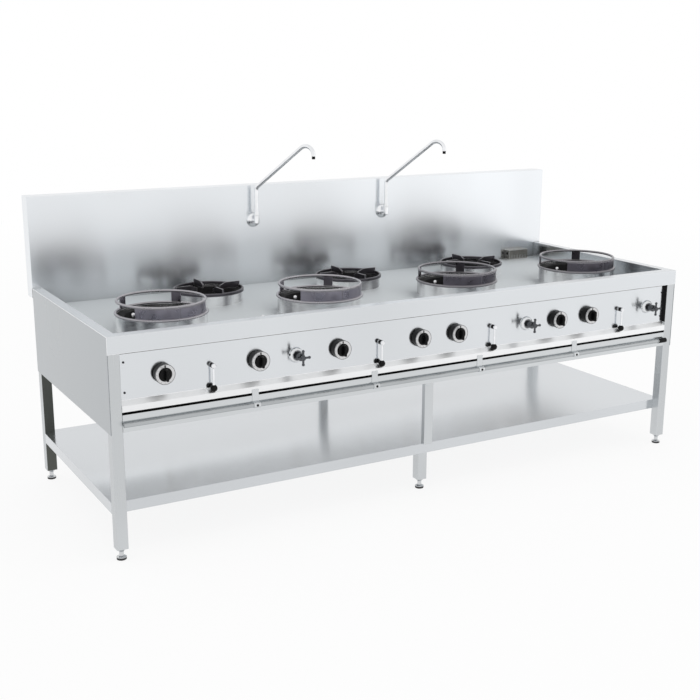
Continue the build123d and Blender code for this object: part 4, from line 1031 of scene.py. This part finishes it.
# %% Painted shade strips
FOOT_RISE = 0.041
END_SHADE_WIDTH = 0.001
SHADOW_SEAM_WIDTH = 0.0016
FACE_GAP = 0.0003
SIDE_GAP = 0.0002
EDGE_INSET = 0.001
panel_low, panel_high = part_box("control_panel")
end_shade_x = panel_high.x - SIDE_GAP
end_shade_strip = brick(
    (end_shade_x - END_SHADE_WIDTH, panel_low.y + EDGE_INSET, panel_low.z + FOOT_RISE),
    (end_shade_x, panel_face - FACE_GAP, panel_high.z - EDGE_INSET),
)
add_piece("panel_end_shade", end_shade_strip, black_rubber_and_shade, "root")
shadow_seam = brick(
    (panel_low.x, fascia_y + SIDE_GAP, panel_high.z - SHADOW_SEAM_WIDTH),
    (panel_high.x, fascia_y + SHADOW_SEAM_WIDTH, panel_high.z),
)
add_piece("fascia_shadow_seam", shadow_seam, black_rubber_and_shade, "root")
print("seam length", round(panel_high.x - panel_low.x, 3))

# %% [markdown]
# ## Rinse jet
# A small jet in the front wall of the tray rinses the sheet between the first
# two woks. It is a short tube with a collar, both turned on one slanted axis.

# %% Rinse jet
JET_X = -0.757
WALL_BEHIND_FASCIA = 0.047
JET_BELOW_RIM = 0.007
JET_AXIS = (0.3, 1, 0.12)
JET_TUBE = [(0.003, 0.0), (0.003, 0.014)]
JET_COLLAR = [(0.003, 0.010), (0.0058, 0.012), (0.0058, 0.018), (0.003, 0.020)]
rim_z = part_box("worktop")[1].z
jet_place = (JET_X, fascia_y + WALL_BEHIND_FASCIA, rim_z - JET_BELOW_RIM)
jet = [turned(JET_TUBE, jet_place, JET_AXIS, 16), turned(JET_COLLAR, jet_place, JET_AXIS, 20)]
add_piece("rinse_jet", joined(jet), bright_steel, "root")
print("rinse jet at", [round(float(place), 3) for place in jet_place])

# %% [markdown]
# ## The strip behind the slit
# Behind the slit above the front rail stands a black angle strip, which paints the shade inside the
# body. Without it one would look through the slit at the pots. It is two thin blocks, one flat on
# the rail and one upright behind it.

# %% Slit strip
STRIP_BACK, STRIP_THICKNESS, STRIP_RISE = 0.028, 0.0008, 0.036
STRIP_LIFT, STRIP_INSET = 0.0001, 0.0002
rail_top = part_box("cross_rails")[1].z
leg_face = leg_low.y
strip_y, strip_foot = leg_face + STRIP_BACK, rail_top + STRIP_LIFT
strip_x = (panel_low.x + EDGE_INSET, panel_high.x - EDGE_INSET)
flat_part = brick(
    (strip_x[0], leg_face + STRIP_INSET, strip_foot),
    (strip_x[1], strip_y, strip_foot + STRIP_THICKNESS),
)
upright_part = brick(
    (strip_x[0], strip_y, strip_foot),
    (strip_x[1], strip_y + STRIP_THICKNESS, strip_foot + STRIP_RISE),
)
add_piece("slit_shade_strip", joined([flat_part, upright_part]), shade_black, "root")
print("strip foot at", round(strip_foot, 4))

# %% [markdown]
# ## Tube socket
# A socket closes the right end of the tube rail, and its black is painted shade for the shadow it
# stands in. It is a short cylinder around the tube, which a turned outline gives at once.

# %% Tube socket
SOCKET_LENGTH = 0.048
SOCKET_WALL = 0.0003
SOCKET_SHIFT = 0.0004
SOCKET_INSET = 0.0002
tube_low, tube_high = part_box("front_tube")
tube_radius = (tube_high.z - tube_low.z) / 2
socket_radius = tube_radius + SOCKET_WALL
socket_y = (tube_low.y + tube_high.y) / 2 - SOCKET_SHIFT
socket_end = (tube_high.x - SOCKET_INSET, socket_y, tube_high.z - tube_radius)
socket = turned([(socket_radius, 0.0), (socket_radius, SOCKET_LENGTH)], socket_end, (-1, 0, 0), 32)
add_piece("tube_socket", socket, black_rubber_and_shade, "root")
print("socket radius", round(socket_radius, 4))

# %% [markdown]
# ## Lever sleeves
# A black sleeve covers the boss on which every lever swings. It rides on its
# lever, so it stays on the boss when the lever is lifted.

# %% Lever sleeves
BOSS_RADIUS = 0.009
BOSS_SLEEVE = [(0.0094, 0.004), (0.0094, 0.021), (0.0086, 0.022)]
for lever in numbered("lever", WOKS):
    low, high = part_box(lever)
    boss = ((low.x + high.x) / 2, panel_face, high.z - BOSS_RADIUS)
    add_piece(f"{lever}_sleeve", turned(BOSS_SLEEVE, boss, (0, -1, 0), 32), black_rubber_and_shade, lever)
print("lever sleeves:", WOKS)

# %% [markdown]
# ## Sizes
# The box of what is drawn is measured here, over every piece but the floor.

# %% Measure the sizes
low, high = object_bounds()
